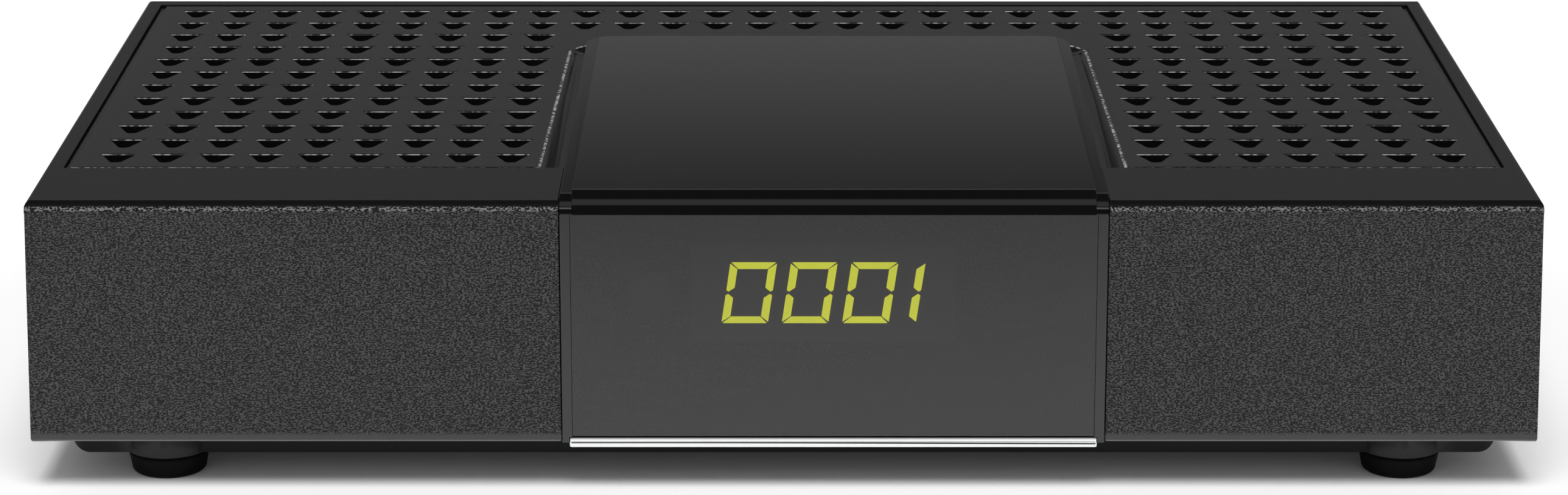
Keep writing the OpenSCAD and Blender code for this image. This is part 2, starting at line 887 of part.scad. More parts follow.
module at_case_screws() {
    for (x = [-1, 1], y = [screw_front, screw_rear])
        translate([x * screw_x, y, 0]) children();
}

module at_board_holes() {
    for (x = [-1, 1], y = [board_hole_front, board_hole_rear])
        translate([x * board_hole_x, y, 0]) children();
}

module tray_shell() {
    difference() {
        union() {
            along(pan_y0, pan_y1) pan_outline();
            block([-flange_x, flange_y0, rim_z], [flange_x, flange_y1, flange_z1]);
            at_feet() translate([0, 0, foot_z])
                cylinder(r = foot_boss_r, h = rim_z + flange_t / 2 - foot_z);
        }
        block([-(pan_x - base_t), pan_y0 + base_t, pan_z + base_t],
              [pan_x - base_t, pan_y1 - base_t, flange_z1 + over]);
        block([cover_x0 - saddle_lap - case_gap, 0, rim_z - over],
              [cover_x1 + saddle_lap + case_gap, flange_notch, flange_z1 + over]);
        block([-(panel_x + touch), panel_y0 - touch, panel_z0],
              [panel_x + touch, panel_y1 + touch, flange_z1 + over]);
    }
    at_case_screws() translate([0, 0, pan_z + base_t / 2])
        cylinder(r = screw_boss_r, h = screw_boss_top - pan_z - base_t / 2);
    at_board_holes() translate([0, 0, pan_z + base_t / 2])
        cylinder(r = standoff_r, h = board_z - pan_z - base_t / 2);
}

module base_tray() {
    color("#1d1e20") place() difference() {
        tray_shell();
        at_feet() translate([0, 0, foot_z - over])
            cylinder(d = foot_stem_d + 2 * foot_fit, h = foot_seat + over);
        at_case_screws() {
            translate([0, 0, pan_z - over])
                cylinder(r = screw_head_r + screw_room, h = screw_sink + screw_head_h + over);
            translate([0, 0, pan_z])
                cylinder(r = screw_r + screw_room, h = screw_boss_top - pan_z + over);
        }
        at_board_holes() translate([0, 0, pan_z + base_t + standoff_floor])
            cylinder(r = board_screw_r + screw_fit, h = board_z);
        for (side = [-1, 1], i = [0 : slot_count - 1])
            translate([side * pan_x / 2, slot_y(i), pan_z - over])
                linear_extrude(base_t + 2 * over) rounded(slot_l, slot_w, slot_w / 2 - touch);
    }
}

module foot_shape() {
    bottom_r = foot_d / 2 - foot_taper - foot_round;
    rotate_extrude() {
        polygon(concat(
            [[0, 0], [bottom_r, 0]],
            arc_points(bottom_r, foot_round, foot_round, -75, 0, 5),
            [[foot_d / 2, foot_z], [0, foot_z]]));
        translate([0, foot_z - touch]) square([foot_stem_d / 2, foot_seat - foot_fit + touch]);
    }
}

module foot(side, y) {
    color("#101012") place() translate([side * foot_x, y, 0]) foot_shape();
}

module foot_front_left() { foot(-1, foot_front); }
module foot_front_right() { foot(1, foot_front); }
module foot_rear_left() { foot(-1, case_d - foot_rear); }
module foot_rear_right() { foot(1, case_d - foot_rear); }

module case_screws() {
    color("#6d6e70") place() at_case_screws()
        translate([0, 0, pan_z + screw_sink + screw_head_h])
            screw(screw_head_r, screw_head_h, screw_r, screw_boss_top + pilot_l * screw_share - pan_z);
}

// Rear panel
module rear_panel() {
    color("#2a2b2d") place() difference() {
        block([-panel_x, panel_y0, panel_z0], [panel_x, panel_y1, panel_z1]);
        bar(rf_in_r + rf_collar + socket_gap, rf_in_x, rf_z, panel_y0 - over, panel_y1 + over);
        bar(rf_out_r + rf_collar + socket_gap, rf_out_x, rf_z, panel_y0 - over, panel_y1 + over);
        bar(audio_nose_r + socket_gap, audio_x, audio_z, panel_y0 - over, panel_y1 + over);
        panel_cut(scart_x, scart_z, scart_w, scart_h);
        panel_cut(hdmi_x, board_top + hdmi_h / 2, hdmi_w, hdmi_h);
        panel_cut(usb_x, board_top + usb_h / 2, usb_w, usb_h);
        panel_cut(jack_x, board_top + jack_h / 2, jack_w, jack_h);
        panel_cut(switch_x, switch_z, 2 * switch_half_w, 2 * switch_half_h);
        for (x = [-1, 1])
            bar(screw_r + screw_room, x * panel_screw_x, panel_screw_z, panel_y0 - over, panel_y1 + over);
    }
}

module panel_cut(x, z, w, h) {
    translate([x, (panel_y0 + panel_y1) / 2, z])
        cube([w + 2 * socket_gap, panel_t + 2 * over, h + 2 * socket_gap], center = true);
}

module rear_panel_screws() {
    color("#6d6e70") place() for (x = [-1, 1])
        translate([x * panel_screw_x, panel_y1, panel_screw_z]) rotate([90, 0, 0])
            screw(panel_head_r, panel_head_h, screw_r, panel_t + panel_boss_l * screw_share);
}

// Main board
module main_board() {
    color("#1f5a34") place() difference() {
        block([-board_w / 2, board_y0, board_z], [board_w / 2, board_y1, board_top]);
        at_board_holes() translate([0, 0, board_z - over])
            cylinder(r = board_screw_r + screw_room, h = board_t + 2 * over);
        at_sink_pins() translate([0, 0, board_z - over])
            cylinder(r = sink_pin_r + sink_pin_fit, h = board_t + 2 * over);
        for (x = [0, blade_x])
            translate([switch_x + x, pivot_y - leg_y, board_z + board_t / 2])
                cube([leg_w + 2 * leg_room, blade_t + 2 * leg_room, board_t + 2 * over], center = true);
    }
}

module board_screws() {
    color("#b9b9bb") place() at_board_holes() translate([0, 0, board_top])
        mirror([0, 0, 1]) screw(board_head_r, board_head_h, board_screw_r, board_t + board_screw_l);
}

// Display board and what it carries
module display_board() {
    color("#1f5a34") place() difference() {
        block([display_x - display_board_w / 2, led_y1, display_board_z0],
              [display_x + display_board_w / 2, display_board_y1, display_board_z1]);
        for (x = [-1, 1])
            bar(small_screw_r + screw_room, display_x + x * display_post_x, display_post_z,
                led_y1 - over, display_board_y1 + over);
    }
}

module display_board_screws() {
    color("#b9b9bb") place() for (x = [-1, 1])
        translate([display_x + x * display_post_x, display_board_y1, display_post_z]) rotate([90, 0, 0])
            screw(small_head_r, small_head_h, small_screw_r,
                  board_t + led_y1 - saddle_back - display_post_lip);
}

module led_display() {
    color("#151517") place()
        block([display_x - led_w / 2, led_y0, display_z - led_h / 2],
              [display_x + led_w / 2, led_y1, display_z + led_h / 2]);
}

// Segments of one digit, from its lower left corner
function level_bar(z0, z1) =
    [[segment_gap, z0], [digit_w - segment_gap, z0],
     [digit_w - segment_upright - segment_gap / 2, z1], [segment_upright + segment_gap / 2, z1]];

function upright_bar() =
    let (z = digit_h / 2)
    [[0, digit_h - segment_gap], [0, z + nib_outer], [nib_share * segment_upright, z + segment_gap],
     [segment_upright, z + nib_inner], [segment_upright, digit_h - segment_level - segment_gap / 2]];

function middle_bar() =
    let (h = segment_level / 2, z = digit_h / 2, w = segment_upright)
    [[0.6 * w, z], [w + segment_gap, z + h], [digit_w - w - segment_gap, z + h],
     [digit_w - 0.6 * w, z], [digit_w - w - segment_gap, z - h], [w + segment_gap, z - h]];

// Segments in the order a to g: top, upper right, lower right, bottom, lower left, upper left, middle
function segment(i) =
    i == 0 ? level_bar(digit_h, digit_h - segment_level) :
    i == 1 ? [for (p = upright_bar()) [digit_w - p[0], p[1]]] :
    i == 2 ? [for (p = upright_bar()) [digit_w - p[0], digit_h - p[1]]] :
    i == 3 ? level_bar(0, segment_level) :
    i == 4 ? [for (p = upright_bar()) [p[0], digit_h - p[1]]] :
    i == 5 ? upright_bar() : middle_bar();

function slanted(points) = [for (p = points) [p[0] + p[1] * tan(digit_slant), p[1]]];

// Three full places that show a zero, and a last narrow one with the two bars of a one
ZERO = [0, 1, 2, 3, 4, 5];
ONE = [1, 2];
DASH = [6];
full_places = 3;
last_x = (full_places - 1) * digit_pitch + last_pitch;
digits_x0 = display_x - (last_x + digit_w + digit_h * tan(digit_slant)) / 2;

module digit(x, bars) {
    for (i = bars)
        translate([digits_x0 + x, 0, display_z - digit_h / 2])
            along(segment_y0, led_y0) polygon(slanted(segment(i)));
}

module lit_segments() {
    color("#b6bb1a") place() {
        for (d = [0 : full_places - 1])
            digit(d * digit_pitch, ZERO);
        digit(last_x, ONE);
    }
}

module dark_segments() {
    color("#3c3d34") place() for (d = [0 : full_places - 1])
        digit(d * digit_pitch, DASH);
}

module infrared_receiver() {
    color("#141416") place() {
        block([ir_x - ir_w / 2, saddle_back + ir_setback, display_z - ir_h / 2],
              [ir_x + ir_w / 2, led_y1, display_z + ir_h / 2]);
        translate([ir_x, saddle_back + ir_setback, display_z]) rotate([90, 0, 0]) {
            intersection() {
                sphere(ir_r);
                cylinder(r = ir_r + over, h = ir_r + over);
            }
        }
    }
}

// Ribbon cable between the boards
module ribbon_cable() {
    bend_y = ribbon_y1 - ribbon_bend;
    bend_z = header_z - ribbon_bend;
    half = ribbon_t / 2;
    color("#8d8f92") place() across(display_x - ribbon_w / 2, display_x + ribbon_w / 2)
        polygon(concat(
            [[ribbon_y0, header_z - half], [ribbon_y0, header_z + half]],
            arc_points(bend_y, bend_z, ribbon_bend + half, 90, 0, 6),
            [[ribbon_y1 + half, ribbon_z1], [ribbon_y1 - half, ribbon_z1]],
            arc_points(bend_y, bend_z, ribbon_bend - half, 0, 90, 6)));
}

module display_header() {
    color("#e4e2d8") place()
        block([display_x - header_w / 2, display_board_y1, header_z - header_h / 2],
              [display_x + header_w / 2, ribbon_y0, header_z + header_h / 2]);
}

module board_header() {
    color("#e4e2d8") place()
        block([display_x - header_w / 2, ribbon_y1 - header_d / 2, board_top],
              [display_x + header_w / 2, ribbon_y1 + header_d / 2, ribbon_z1]);
}

// Tuner can and aerial sockets
module tuner_can() {
    color("#b4b6b8") place() difference() {
        block([tuner_x - tuner_w / 2, tuner_y0, board_top],
              [tuner_x + tuner_w / 2, board_y1, board_top + tuner_h]);
        block([tuner_x - tuner_w / 2 + tuner_wall, tuner_y0 + tuner_wall, board_top + tuner_wall],
              [tuner_x + tuner_w / 2 - tuner_wall, board_y1 - tuner_wall, board_top + tuner_h + over]);
    }
}

module tuner_lid() {
    color("#bfc1c3") place()
        block([tuner_x - tuner_w / 2, tuner_y0, board_top + tuner_h],
              [tuner_x + tuner_w / 2, board_y1, board_top + tuner_h + tuner_wall]);
}

module aerial_sleeve(x, r, bore) {
    difference() {
        union() {
            bar(r + rf_collar, x, rf_z, board_y1, rf_collar_y1);
            bar(r, x, rf_z, board_y1, rf_y1);
        }
        bar(bore, x, rf_z, rf_floor, rf_y1 + over);
    }
}

module antenna_input() {
    color("#c9cbcd") place() aerial_sleeve(rf_in_x, rf_in_r, rf_in_bore);
}

module antenna_input_contact() {
    color("#c8a24a") place() difference() {
        bar(rf_contact_r, rf_in_x, rf_z, rf_floor, rf_y1 - rf_contact_short);
        bar(rf_contact_bore, rf_in_x, rf_z, rf_floor + rf_contact_floor, rf_y1);
    }
}

module antenna_output() {
    color("#c9cbcd") place() aerial_sleeve(rf_out_x, rf_out_r, rf_out_bore);
}

module antenna_output_pin() {
    color("#c8a24a") place() bar(rf_pin_r, rf_out_x, rf_z, rf_floor, rf_y1 - rf_pin_short);
}

module insulator(x, r, bore) {
    difference() {
        bar(r - touch, x, rf_z, rf_floor, rf_floor + rf_disc_t);
        bar(bore + touch, x, rf_z, rf_floor - over, rf_floor + rf_disc_t + over);
    }
}

module antenna_insulators() {
    color("#e8e6e0") place() {
        insulator(rf_in_x, rf_in_bore, rf_contact_r);
        insulator(rf_out_x, rf_out_bore, rf_pin_r);
    }
}

// Picture and sound socket
module at_scart_slots() {
    for (row = [-1, 1], i = [0 : scart_slots - 1])
        translate([scart_x + (i - (scart_slots - 1) / 2) * scart_pitch + row * scart_pitch / 4, 0,
                   scart_z + row * scart_row])
            children();
}

module scart_socket() {
    color("#1a1a1c") place() difference() {
        block([scart_x - scart_w / 2, scart_y0, board_top],
              [scart_x + scart_w / 2, scart_y1, board_top + scart_h]);
        translate([scart_x, 0, scart_z]) along(scart_y1 - scart_ring_l, scart_y1 + over) difference() {
            rounded(scart_ring_w, scart_ring_h, scart_ring_r);
            rounded(scart_ring_w - 2 * scart_ring_t, scart_ring_h - 2 * scart_ring_t, scart_core_r);
        }
        at_scart_slots() along(scart_y1 - scart_ring_l, scart_y1 + over) square(scart_slot, center = true);
    }
}

module scart_contacts() {
    color("#c9cbcd") place() at_scart_slots()
        along(scart_y1 - scart_ring_l, scart_y1 - contact_short) square(scart_blade, center = true);
}

// Digital video socket
module video_outline(inset) {
    w = hdmi_w / 2 - inset;
    h = hdmi_h / 2 - inset;
    polygon([
        [-w, h], [w, h], [w, -h + hdmi_skirt],
        [w - hdmi_skirt, -h], [-w + hdmi_skirt, -h], [-w, -h + hdmi_skirt]]);
}

module video_socket() {
    color("#c4c6c8") place() translate([hdmi_x, 0, board_top + hdmi_h / 2]) difference() {
        along(hdmi_y0, hdmi_y1) video_outline(0);
        along(hdmi_y0 - over, hdmi_y1 + over) video_outline(hdmi_wall);
    }
}

module video_tongue() {
    color("#18181a") place() translate([hdmi_x, 0, board_top + hdmi_h / 2]) {
        along(hdmi_y0, hdmi_y0 + plug_back) video_outline(hdmi_wall + touch);
        along(hdmi_y0 + plug_back, hdmi_y1 - contact_short)
            square([hdmi_tongue_w, hdmi_tongue_t], center = true);
    }
}

// Data socket
module usb_socket() {
    color("#c4c6c8") place() translate([usb_x, 0, board_top + usb_h / 2]) difference() {
        along(usb_y0, usb_y1) square([usb_w, usb_h], center = true);
        along(usb_y0 - over, usb_y1 + over)
            square([usb_w - 2 * usb_wall, usb_h - 2 * usb_wall], center = true);
    }
}

module usb_tongue() {
    inner_h = usb_h - 2 * usb_wall - 2 * touch;
    color("#e6e6e2") place() translate([usb_x, 0, board_top + usb_h / 2]) {
        along(usb_y0, usb_y0 + plug_back)
            square([usb_w - 2 * usb_wall - 2 * touch, inner_h], center = true);
        along(usb_y0 + plug_back, usb_y1 - contact_short) translate([0, usb_tongue_rise])
            square([usb_tongue_w, usb_tongue_t], center = true);
    }
}

// Digital audio socket
module audio_body() {
    color("#1a1a1c") place() {
        block([audio_x - audio_w / 2, audio_y0, board_top],
              [audio_x + audio_w / 2, panel_y0 - touch, board_top + audio_h]);
        bar(audio_nose_r, audio_x, audio_z, audio_y0 + over, audio_nose_y1);
    }
}

module audio_barrel() {
    color("#c9cbcd") place() difference() {
        bar(audio_r, audio_x, audio_z, audio_nose_y1, audio_y1);
        bar(audio_bore, audio_x, audio_z, audio_floor, audio_y1 + over);
    }
}

module audio_insert() {
    color("#d06a1e") place() difference() {
        bar(audio_bore - touch, audio_x, audio_z, audio_floor, audio_y1 - audio_back);
        bar(audio_core_r, audio_x, audio_z, audio_floor + audio_nose, audio_y1 + over);
    }
}

// Power jack
module power_jack() {
    color("#1a1a1c") place() difference() {
        block([jack_x - jack_w / 2, jack_y0, board_top],
              [jack_x + jack_w / 2, jack_y1, board_top + jack_h]);
        bar(jack_bore, jack_x, jack_z, jack_y1 - jack_l, jack_y1 + over);
    }
}

module power_jack_pin() {
    color("#c9cbcd") place() bar(jack_pin_r, jack_x, jack_z, jack_y1 - jack_l, jack_y1 - contact_short);
}

// Power switch: drawn round the rocker's pivot, with the pressed face towards +y
module at_pivot() {
    place() translate([switch_x, pivot_y, switch_z]) children();
}

module upright_pin(r, half) {
    translate([0, 0, -half]) cylinder(r = r, h = 2 * half);
}

module switch_body() {
    color("#1a1a1c") at_pivot() difference() {
        block([-switch_half_w, pivot_depth - switch_l, -switch_half_h],
              [switch_half_w, pivot_depth, switch_half_h]);
        upright_pin(rocker_r + rocker_gap, rocker_half_h + rocker_gap);
        upright_pin(pivot_r + pivot_gap, switch_half_h + over);
        block([-lever_room_x, -lever_room_y0, -lever_room_h],
              [lever_room_x, -lever_room_y1, lever_room_h]);
        translate([0, -lever_y, 0]) upright_pin(lever_pin_r + pivot_gap, lever_pin_half + rocker_gap);
        for (x = [0, blade_x])
            block([x - blade_w / 2 - touch, -switch_l, -blade_t / 2 - touch],
                  [x + blade_w / 2 + touch, -lever_room_y0 + over, blade_t / 2 + touch]);
    }
}

module rocker_outline() {
    slope = tan(rocker_tilt);
    intersection() {
        circle(rocker_r);
        polygon([
            [0, rocker_valley], [2 * rocker_r, rocker_valley + 2 * rocker_r * slope],
            [2 * rocker_r, -rocker_floor], [-2 * rocker_r, -rocker_floor],
            [-2 * rocker_r, rocker_valley + 2 * rocker_r * slope]]);
    }
}

// Puts a mark on the middle of one half of the rocker's face, sunk along +z
module rocker_mark(side) {
    rotate([0, 0, side * rocker_tilt])
        translate([side * rocker_r * mark_share, rocker_valley * cos(rocker_tilt), 0])
            rotate([90, 0, 0]) children();
}

module switch_rocker() {
    color("#17171a") at_pivot() rotate([0, 0, rocker_tilt]) difference() {
        union() {
            translate([0, 0, -rocker_half_h]) linear_extrude(2 * rocker_half_h) rocker_outline();
            upright_pin(pivot_r, switch_half_h - pin_end_gap);
            rotate([90, 0, 0]) cylinder(r = rocker_boss_r, h = rocker_boss_l);
        }
        rotate([90, 0, 0]) translate([0, 0, -plunger_top])
            cylinder(r = plunger_r + touch, h = plunger_tip);
        rocker_mark(1) cube([mark_bar[0], mark_bar[1], 2 * mark_d], center = true);
        rocker_mark(-1) translate([0, 0, -over]) difference() {
            cylinder(r = mark_ring_r, h = mark_d + over);
            translate([0, 0, -over]) cylinder(r = mark_ring_bore, h = mark_d + 4 * over);
        }
    }
}

module switch_plunger() {
    color("#c9cbcd") at_pivot() rotate([0, 0, rocker_tilt]) rotate([90, 0, 0]) {
        translate([0, 0, -plunger_top]) cylinder(r = plunger_r, h = plunger_tip - plunger_r + plunger_top);
        translate([0, 0, plunger_tip - plunger_r]) sphere(plunger_r);
    }
}

module switch_lever() {
    color("#c8a24a") at_pivot() translate([0, -lever_y, 0]) rotate([0, 0, -lever_tilt]) {
        block([-lever_half_w, lever_lift, -lever_half_h],
              [lever_half_w, lever_lift + lever_t, lever_half_h]);
        upright_pin(lever_pin_r, lever_pin_half);
    }
}

module switch_terminals() {
    color("#c8a24a") at_pivot() for (x = [0, blade_x]) {
        block([x - blade_w / 2, -leg_y - blade_t / 2, -blade_t / 2],
              [x + blade_w / 2, -blade_y, blade_t / 2]);
        block([x - leg_w / 2, -leg_y - blade_t / 2, -switch_half_h - board_t - leg_below],
              [x + leg_w / 2, -leg_y + blade_t / 2, blade_t / 2]);
    }
}

// Parts on the main board
module on_board(x, y) {
    place() translate([x, y, board_top]) children();
}

module chip(w, l, t) {
    translate([0, 0, t / 2]) cube([w, l, t], center = true);
}

module main_chip() {
    color("#202124") on_board(chip_x, chip_y) chip(chip_w, chip_w, chip_t);
}

module thermal_pad() {
    color("#9aa3ad") on_board(chip_x, chip_y) translate([0, 0, chip_t]) chip(pad_w, pad_w, pad_t);
}

module at_sink_pins() {
    for (side = [-1, 1])
        translate([chip_x + side * sink_pin_at, chip_y + side * sink_pin_at, 0]) children();
}

module heat_sink() {
    fin_pitch = (sink_w - fin_t) / (sink_fins - 1);
    color("#3a3c40") place() difference() {
        translate([chip_x, chip_y, sink_z0]) {
            chip(sink_w, sink_w, sink_base);
            for (i = [0 : sink_fins - 1])
                translate([(i - (sink_fins - 1) / 2) * fin_pitch, 0, sink_base - touch])
                    chip(fin_t, sink_w, sink_h - sink_base + touch);
        }
        at_sink_pins() {
            translate([0, 0, board_z]) cylinder(r = sink_pin_r + sink_pin_fit, h = sink_h * 2);
            translate([0, 0, sink_z0 + sink_base]) cylinder(r = sink_head_r + sink_head_room, h = sink_h);
        }
    }
}

module heat_sink_pins() {
    color("#e8e6e0") place() at_sink_pins() {
        translate([0, 0, board_z - sink_pin_below])
            cylinder(r = sink_pin_r, h = sink_z0 + sink_base - board_z + sink_pin_below);
        translate([0, 0, sink_z0 + sink_base]) cylinder(r = sink_head_r, h = sink_head_h);
    }
}

module memory_chips() {
    color("#202124") for (side = [-1, 1])
        on_board(memory_x, chip_y + side * memory_pitch / 2) chip(memory_w, memory_l, memory_t);
}

module flash_chip() {
    color("#202124") on_board(flash_x, chip_y + flash_shift) chip(flash_w, flash_l, flash_t);
}

module crystal() {
    color("#c4c6c8") on_board(crystal_x, chip_y + crystal_shift)
        linear_extrude(crystal_h) rounded(crystal_w, crystal_l, crystal_r);
}

// Place of a power part, by column from the left and row from the front
module in_power_grid(column, row) {
    on_board(power_x0 + (column + 0.5) * power_column, board_y0 + power_setback + row * power_row)
        children();
}

module capacitor(r, h) {
    waist = r - crimp_d;
    rotate_extrude()
        polygon([
            [0, 0], [r, 0], [r, crimp_z], [waist, crimp_z + crimp_d],
            [waist, crimp_z + 2 * crimp_d], [r, crimp_z + 3 * crimp_d], [r, h], [0, h]]);
}

module capacitors() {
    color("#2b2f3a") {
        for (i = [0 : power_columns - 2])
            in_power_grid(i, 0) capacitor(large_can_r, large_can_h);
        for (i = [0 : power_rows - 1])
            in_power_grid(power_columns - 1, i) capacitor(small_can_r, small_can_h);
    }
}

module regulator_chips() {
    color("#202124") for (i = [0 : power_columns - 2])
        in_power_grid(i, 1) chip(regulator_w, regulator_l, regulator_t);
}

module inductors() {
    color("#3b3c3e") for (i = [0 : power_columns - 2])
        in_power_grid(i, 2) {
            chip(coil_w, coil_w, coil_base);
            cylinder(r = coil_r, h = coil_h);
        }
}

upper_housing();
vent_grille();
centre_cover();
display_window();
chrome_strip();
base_tray();
rear_panel();
foot_front_left();
foot_front_right();
foot_rear_left();
foot_rear_right();
case_screws();
rear_panel_screws();
main_board();
board_screws();
display_board();
display_board_screws();
led_display();
lit_segments();
dark_segments();
infrared_receiver();
ribbon_cable();
display_header();
board_header();
tuner_can();
tuner_lid();
antenna_input();
antenna_input_contact();
antenna_output();
antenna_output_pin();
antenna_insulators();
scart_socket();
scart_contacts();
video_socket();
video_tongue();
usb_socket();
usb_tongue();
audio_body();
audio_barrel();
audio_insert();
power_jack();
power_jack_pin();
switch_body();
switch_rocker();
switch_plunger();
switch_lever();
switch_terminals();
main_chip();
thermal_pad();
heat_sink();
heat_sink_pins();
memory_chips();
flash_chip();
regulator_chips();
capacitors();
inductors();
crystal();
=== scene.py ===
# Looks of a cable television receiver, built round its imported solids.
# All sizes are in millimetres until they are handed to Blender, which works in metres.
import json
import math

import bpy
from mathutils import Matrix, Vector

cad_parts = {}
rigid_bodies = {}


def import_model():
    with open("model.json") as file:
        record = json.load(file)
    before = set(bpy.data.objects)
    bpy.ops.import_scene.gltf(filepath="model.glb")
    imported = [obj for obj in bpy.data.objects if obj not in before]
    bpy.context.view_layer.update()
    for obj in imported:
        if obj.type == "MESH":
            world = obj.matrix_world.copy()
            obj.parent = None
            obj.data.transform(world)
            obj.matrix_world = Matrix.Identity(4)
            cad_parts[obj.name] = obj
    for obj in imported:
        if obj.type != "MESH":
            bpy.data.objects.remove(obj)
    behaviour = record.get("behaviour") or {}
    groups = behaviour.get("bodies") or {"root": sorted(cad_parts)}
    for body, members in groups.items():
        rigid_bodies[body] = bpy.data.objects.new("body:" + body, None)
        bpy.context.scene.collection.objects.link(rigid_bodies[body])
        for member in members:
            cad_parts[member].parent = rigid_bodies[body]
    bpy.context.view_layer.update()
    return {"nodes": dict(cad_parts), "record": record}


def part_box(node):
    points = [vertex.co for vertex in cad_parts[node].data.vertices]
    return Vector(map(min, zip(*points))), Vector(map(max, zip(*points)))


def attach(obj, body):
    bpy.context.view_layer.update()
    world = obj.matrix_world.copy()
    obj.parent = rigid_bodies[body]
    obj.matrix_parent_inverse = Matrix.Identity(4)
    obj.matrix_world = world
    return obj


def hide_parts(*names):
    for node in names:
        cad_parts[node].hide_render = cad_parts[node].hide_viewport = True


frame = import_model()
MM = 0.001
# Points nearer than the first count as being in one place, and nearer than the second are merged
TOUCH = 0.01
MERGE = 0.002

# The photograph's width in pixels, and the camera that was fitted to its edges and vent rows
IMAGE_W = 2576
FOCAL_PX = 7265.0
CAMERA_BEFORE_FRONT = 612.6
CAMERA_HEIGHT = 213.7
CAMERA_PITCH = 16.108
SENSOR = 36.0
NEAR_CLIP = 10.0

# Soft key light high in front of the case: degrees above the floor, degrees across and strength
KEY_ELEVATION = 70.0
KEY_SPREAD = 35.0
KEY_STRENGTH = 2.2
# Even light on matt surfaces from all round
DOME = 0.44
# The floor's size, and the glow that helps it to look white
FLOOR_SIZE = 6000.0
FLOOR_LIFT = 0.012

# What polished surfaces mirror above the floor: elevation in degrees, from the back horizon over the
# top to the front horizon, and brightness. A pale back wall, a rim light, a ceiling box and a front
# strip light, one to a line.
MIRRORED_STUDIO = [
    (0, 0.1), (10, 0.14), (12, 0.3), (14, 0.18), (15.5, 0.06), (23, 0.05),
    (24, 1.2), (26, 1.2), (27, 0.03),
    (103, 0.06), (115, 0.5), (138, 0.5), (147, 0.06),
    (149, 1.6), (157, 1.6), (159, 0.06), (180, 0.06)]
# The same for the floor, whose colour in reflections is a painted pool of light: distance in front
# of the case and brightness
MIRRORED_FLOOR = [(20, 1.3), (145, 0.85), (240, 0.3), (400, 0.05)]

# Small rounds on moulded and stamped edges
HOUSING_CORNER = 0.4
HOUSING_ROUND = 0.15
RIM_ROUND = 0.2
VENT_ROUND = 0.2
COVER_ROUND = 0.15
STEP_ROUND = 0.06
WINDOW_ROUND = 0.05
CHROME_ROUND = 0.32
BASE_ROUND = 0.3
PANEL_ROUND = 0.15
# Angles between faces: above the first an edge is rounded, above the others it is shaded as a crease
CORNER_ANGLE = math.radians(30)
CREASE_ANGLE = math.radians(40)
COVER_CREASE = math.radians(12)
GRILLE_CREASE = math.radians(20)
# How squarely a face has to look sideways, forwards or along a round's spokes to count, as a cosine
SIDEWAYS = 0.9
FORWARDS = 0.99
ALONG_SPOKES = 0.98
# The cover's faces above this area, in square millimetres, are shaded flat
FLAT_AREA = 1.0

# Rounds of the case's front edge and of the cover's nose, and how far the case's sides lean in
EDGE_R = 1.7
NOSE_R = 3.1
SIDE_DRAFT = 1.2
# Step from the cover's panel to its strips, and how far inside the cover's sides it lies at most
STRIP_DROP = 0.47
STRIP_REACH = 3.0

# How much wider and higher the pane is drawn than its solid, to close the gap round it
WINDOW_FIT = 0.13

# Groove in the chrome strip: how far down it starts, as a share of the strip's height, its size, and
# how far it stops short of the strip's ends
GROOVE_FROM_TOP = 0.4
GROOVE_WIDTH = 0.1
GROOVE_DEPTH = 0.15
GROOVE_END = 0.4

# Where the walls' grain starts and is full below the case's top, and fades and ends above the rim
GRAIN_START = 0.6
GRAIN_FULL = 0.8
GRAIN_FADE = 1.4
GRAIN_END = 0.9
# Where the grain's ridges turn pale with a painted highlight, above the lower end of the front edge's
# round
EDGE_HIGHLIGHT_START = 0.3
EDGE_HIGHLIGHT_FULL = 0.5
# Where the walls' polish gives way to the top's, below the case's top
WALL_POLISH = 0.15
TOP_POLISH = 0.03
# Where the painted highlight on the vents' edges starts to fade and ends, below the case's top
HIGHLIGHT_FADE = 0.1
HIGHLIGHT_END = 0.05
# Tone of the housing where it has no grain: height above its rim and linear grey. Next to the rim
# it is a painted highlight line, then a band of painted reflection; higher up it is the plain black.
PLAIN_TINT_AND_RIM_HIGHLIGHT = [(0, 0.3), (0.11, 0.3), (0.16, 0.055), (5, 0.055), (6, 0.0048)]

# Sizes of the surface patterns. The two matts are drawn coarser than they are, so that they show.
WRINKLE_LENGTH = 0.33
WRINKLE_HEIGHT = 0.18
WRINKLE_DEPTH = 0.3
HOUSING_MATT = 0.25
GRILLE_MATT = 0.22
MATT_DEPTH = 0.02
# Size of the patches of painted highlight on the vents' edges
HIGHLIGHT_PATCH = 0.9
HAZE_PATCH = 14.0
RIPPLE_DEPTH = 0.05
CLOUD_PATCH = 20.0
GLOW_PATCH = 3.0
PEBBLE_SIZE = 0.55
PEBBLE_DEPTH = 0.12
TRACK_LENGTH = 9.0
TRACK_PITCH = 1.3
TRACK_WIDTH = 0.12
TRACK_DEPTH = 0.04
WIRE_PITCH = 2.0
WIRE_DEPTH = 0.3
# Radians that Blender's wave texture turns through in one unit
WAVE_RATE = 20


def corners(node):
    """Lowest and highest corner of a CAD node in millimetres."""
    low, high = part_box(node)
    return [v / MM for v in low], [v / MM for v in high]


CASE_LOW, CASE_HIGH = corners("upper_housing")
FRONT_Y = CASE_LOW[1]
CASE_TOP = CASE_HIGH[2]
RIM_Z = CASE_LOW[2]


def linear(code):
    """sRGB hex to linear colour with full alpha."""
    parts = [int(code[i:i + 2], 16) / 255 for i in (1, 3, 5)]
    return tuple(c / 12.92 if c <= 0.04045 else ((c + 0.055) / 1.055) ** 2.4 for c in parts) + (1.0,)


def fill(tree, node, inputs):
    """Gives a node's inputs their values, or links them to the sockets that bring these."""
    for name, value in inputs.items():
        if isinstance(value, bpy.types.NodeSocket):
            tree.links.new(value, node.inputs[name])
        else:
            node.inputs[name].default_value = value


def add(tree, kind, inputs=None, **settings):
    """Adds a node: settings are its own properties, inputs are values or sockets to link."""
    node = tree.nodes.new(kind)
    for name, value in settings.items():
        setattr(node, name, value)
    fill(tree, node, inputs or {})
    return node


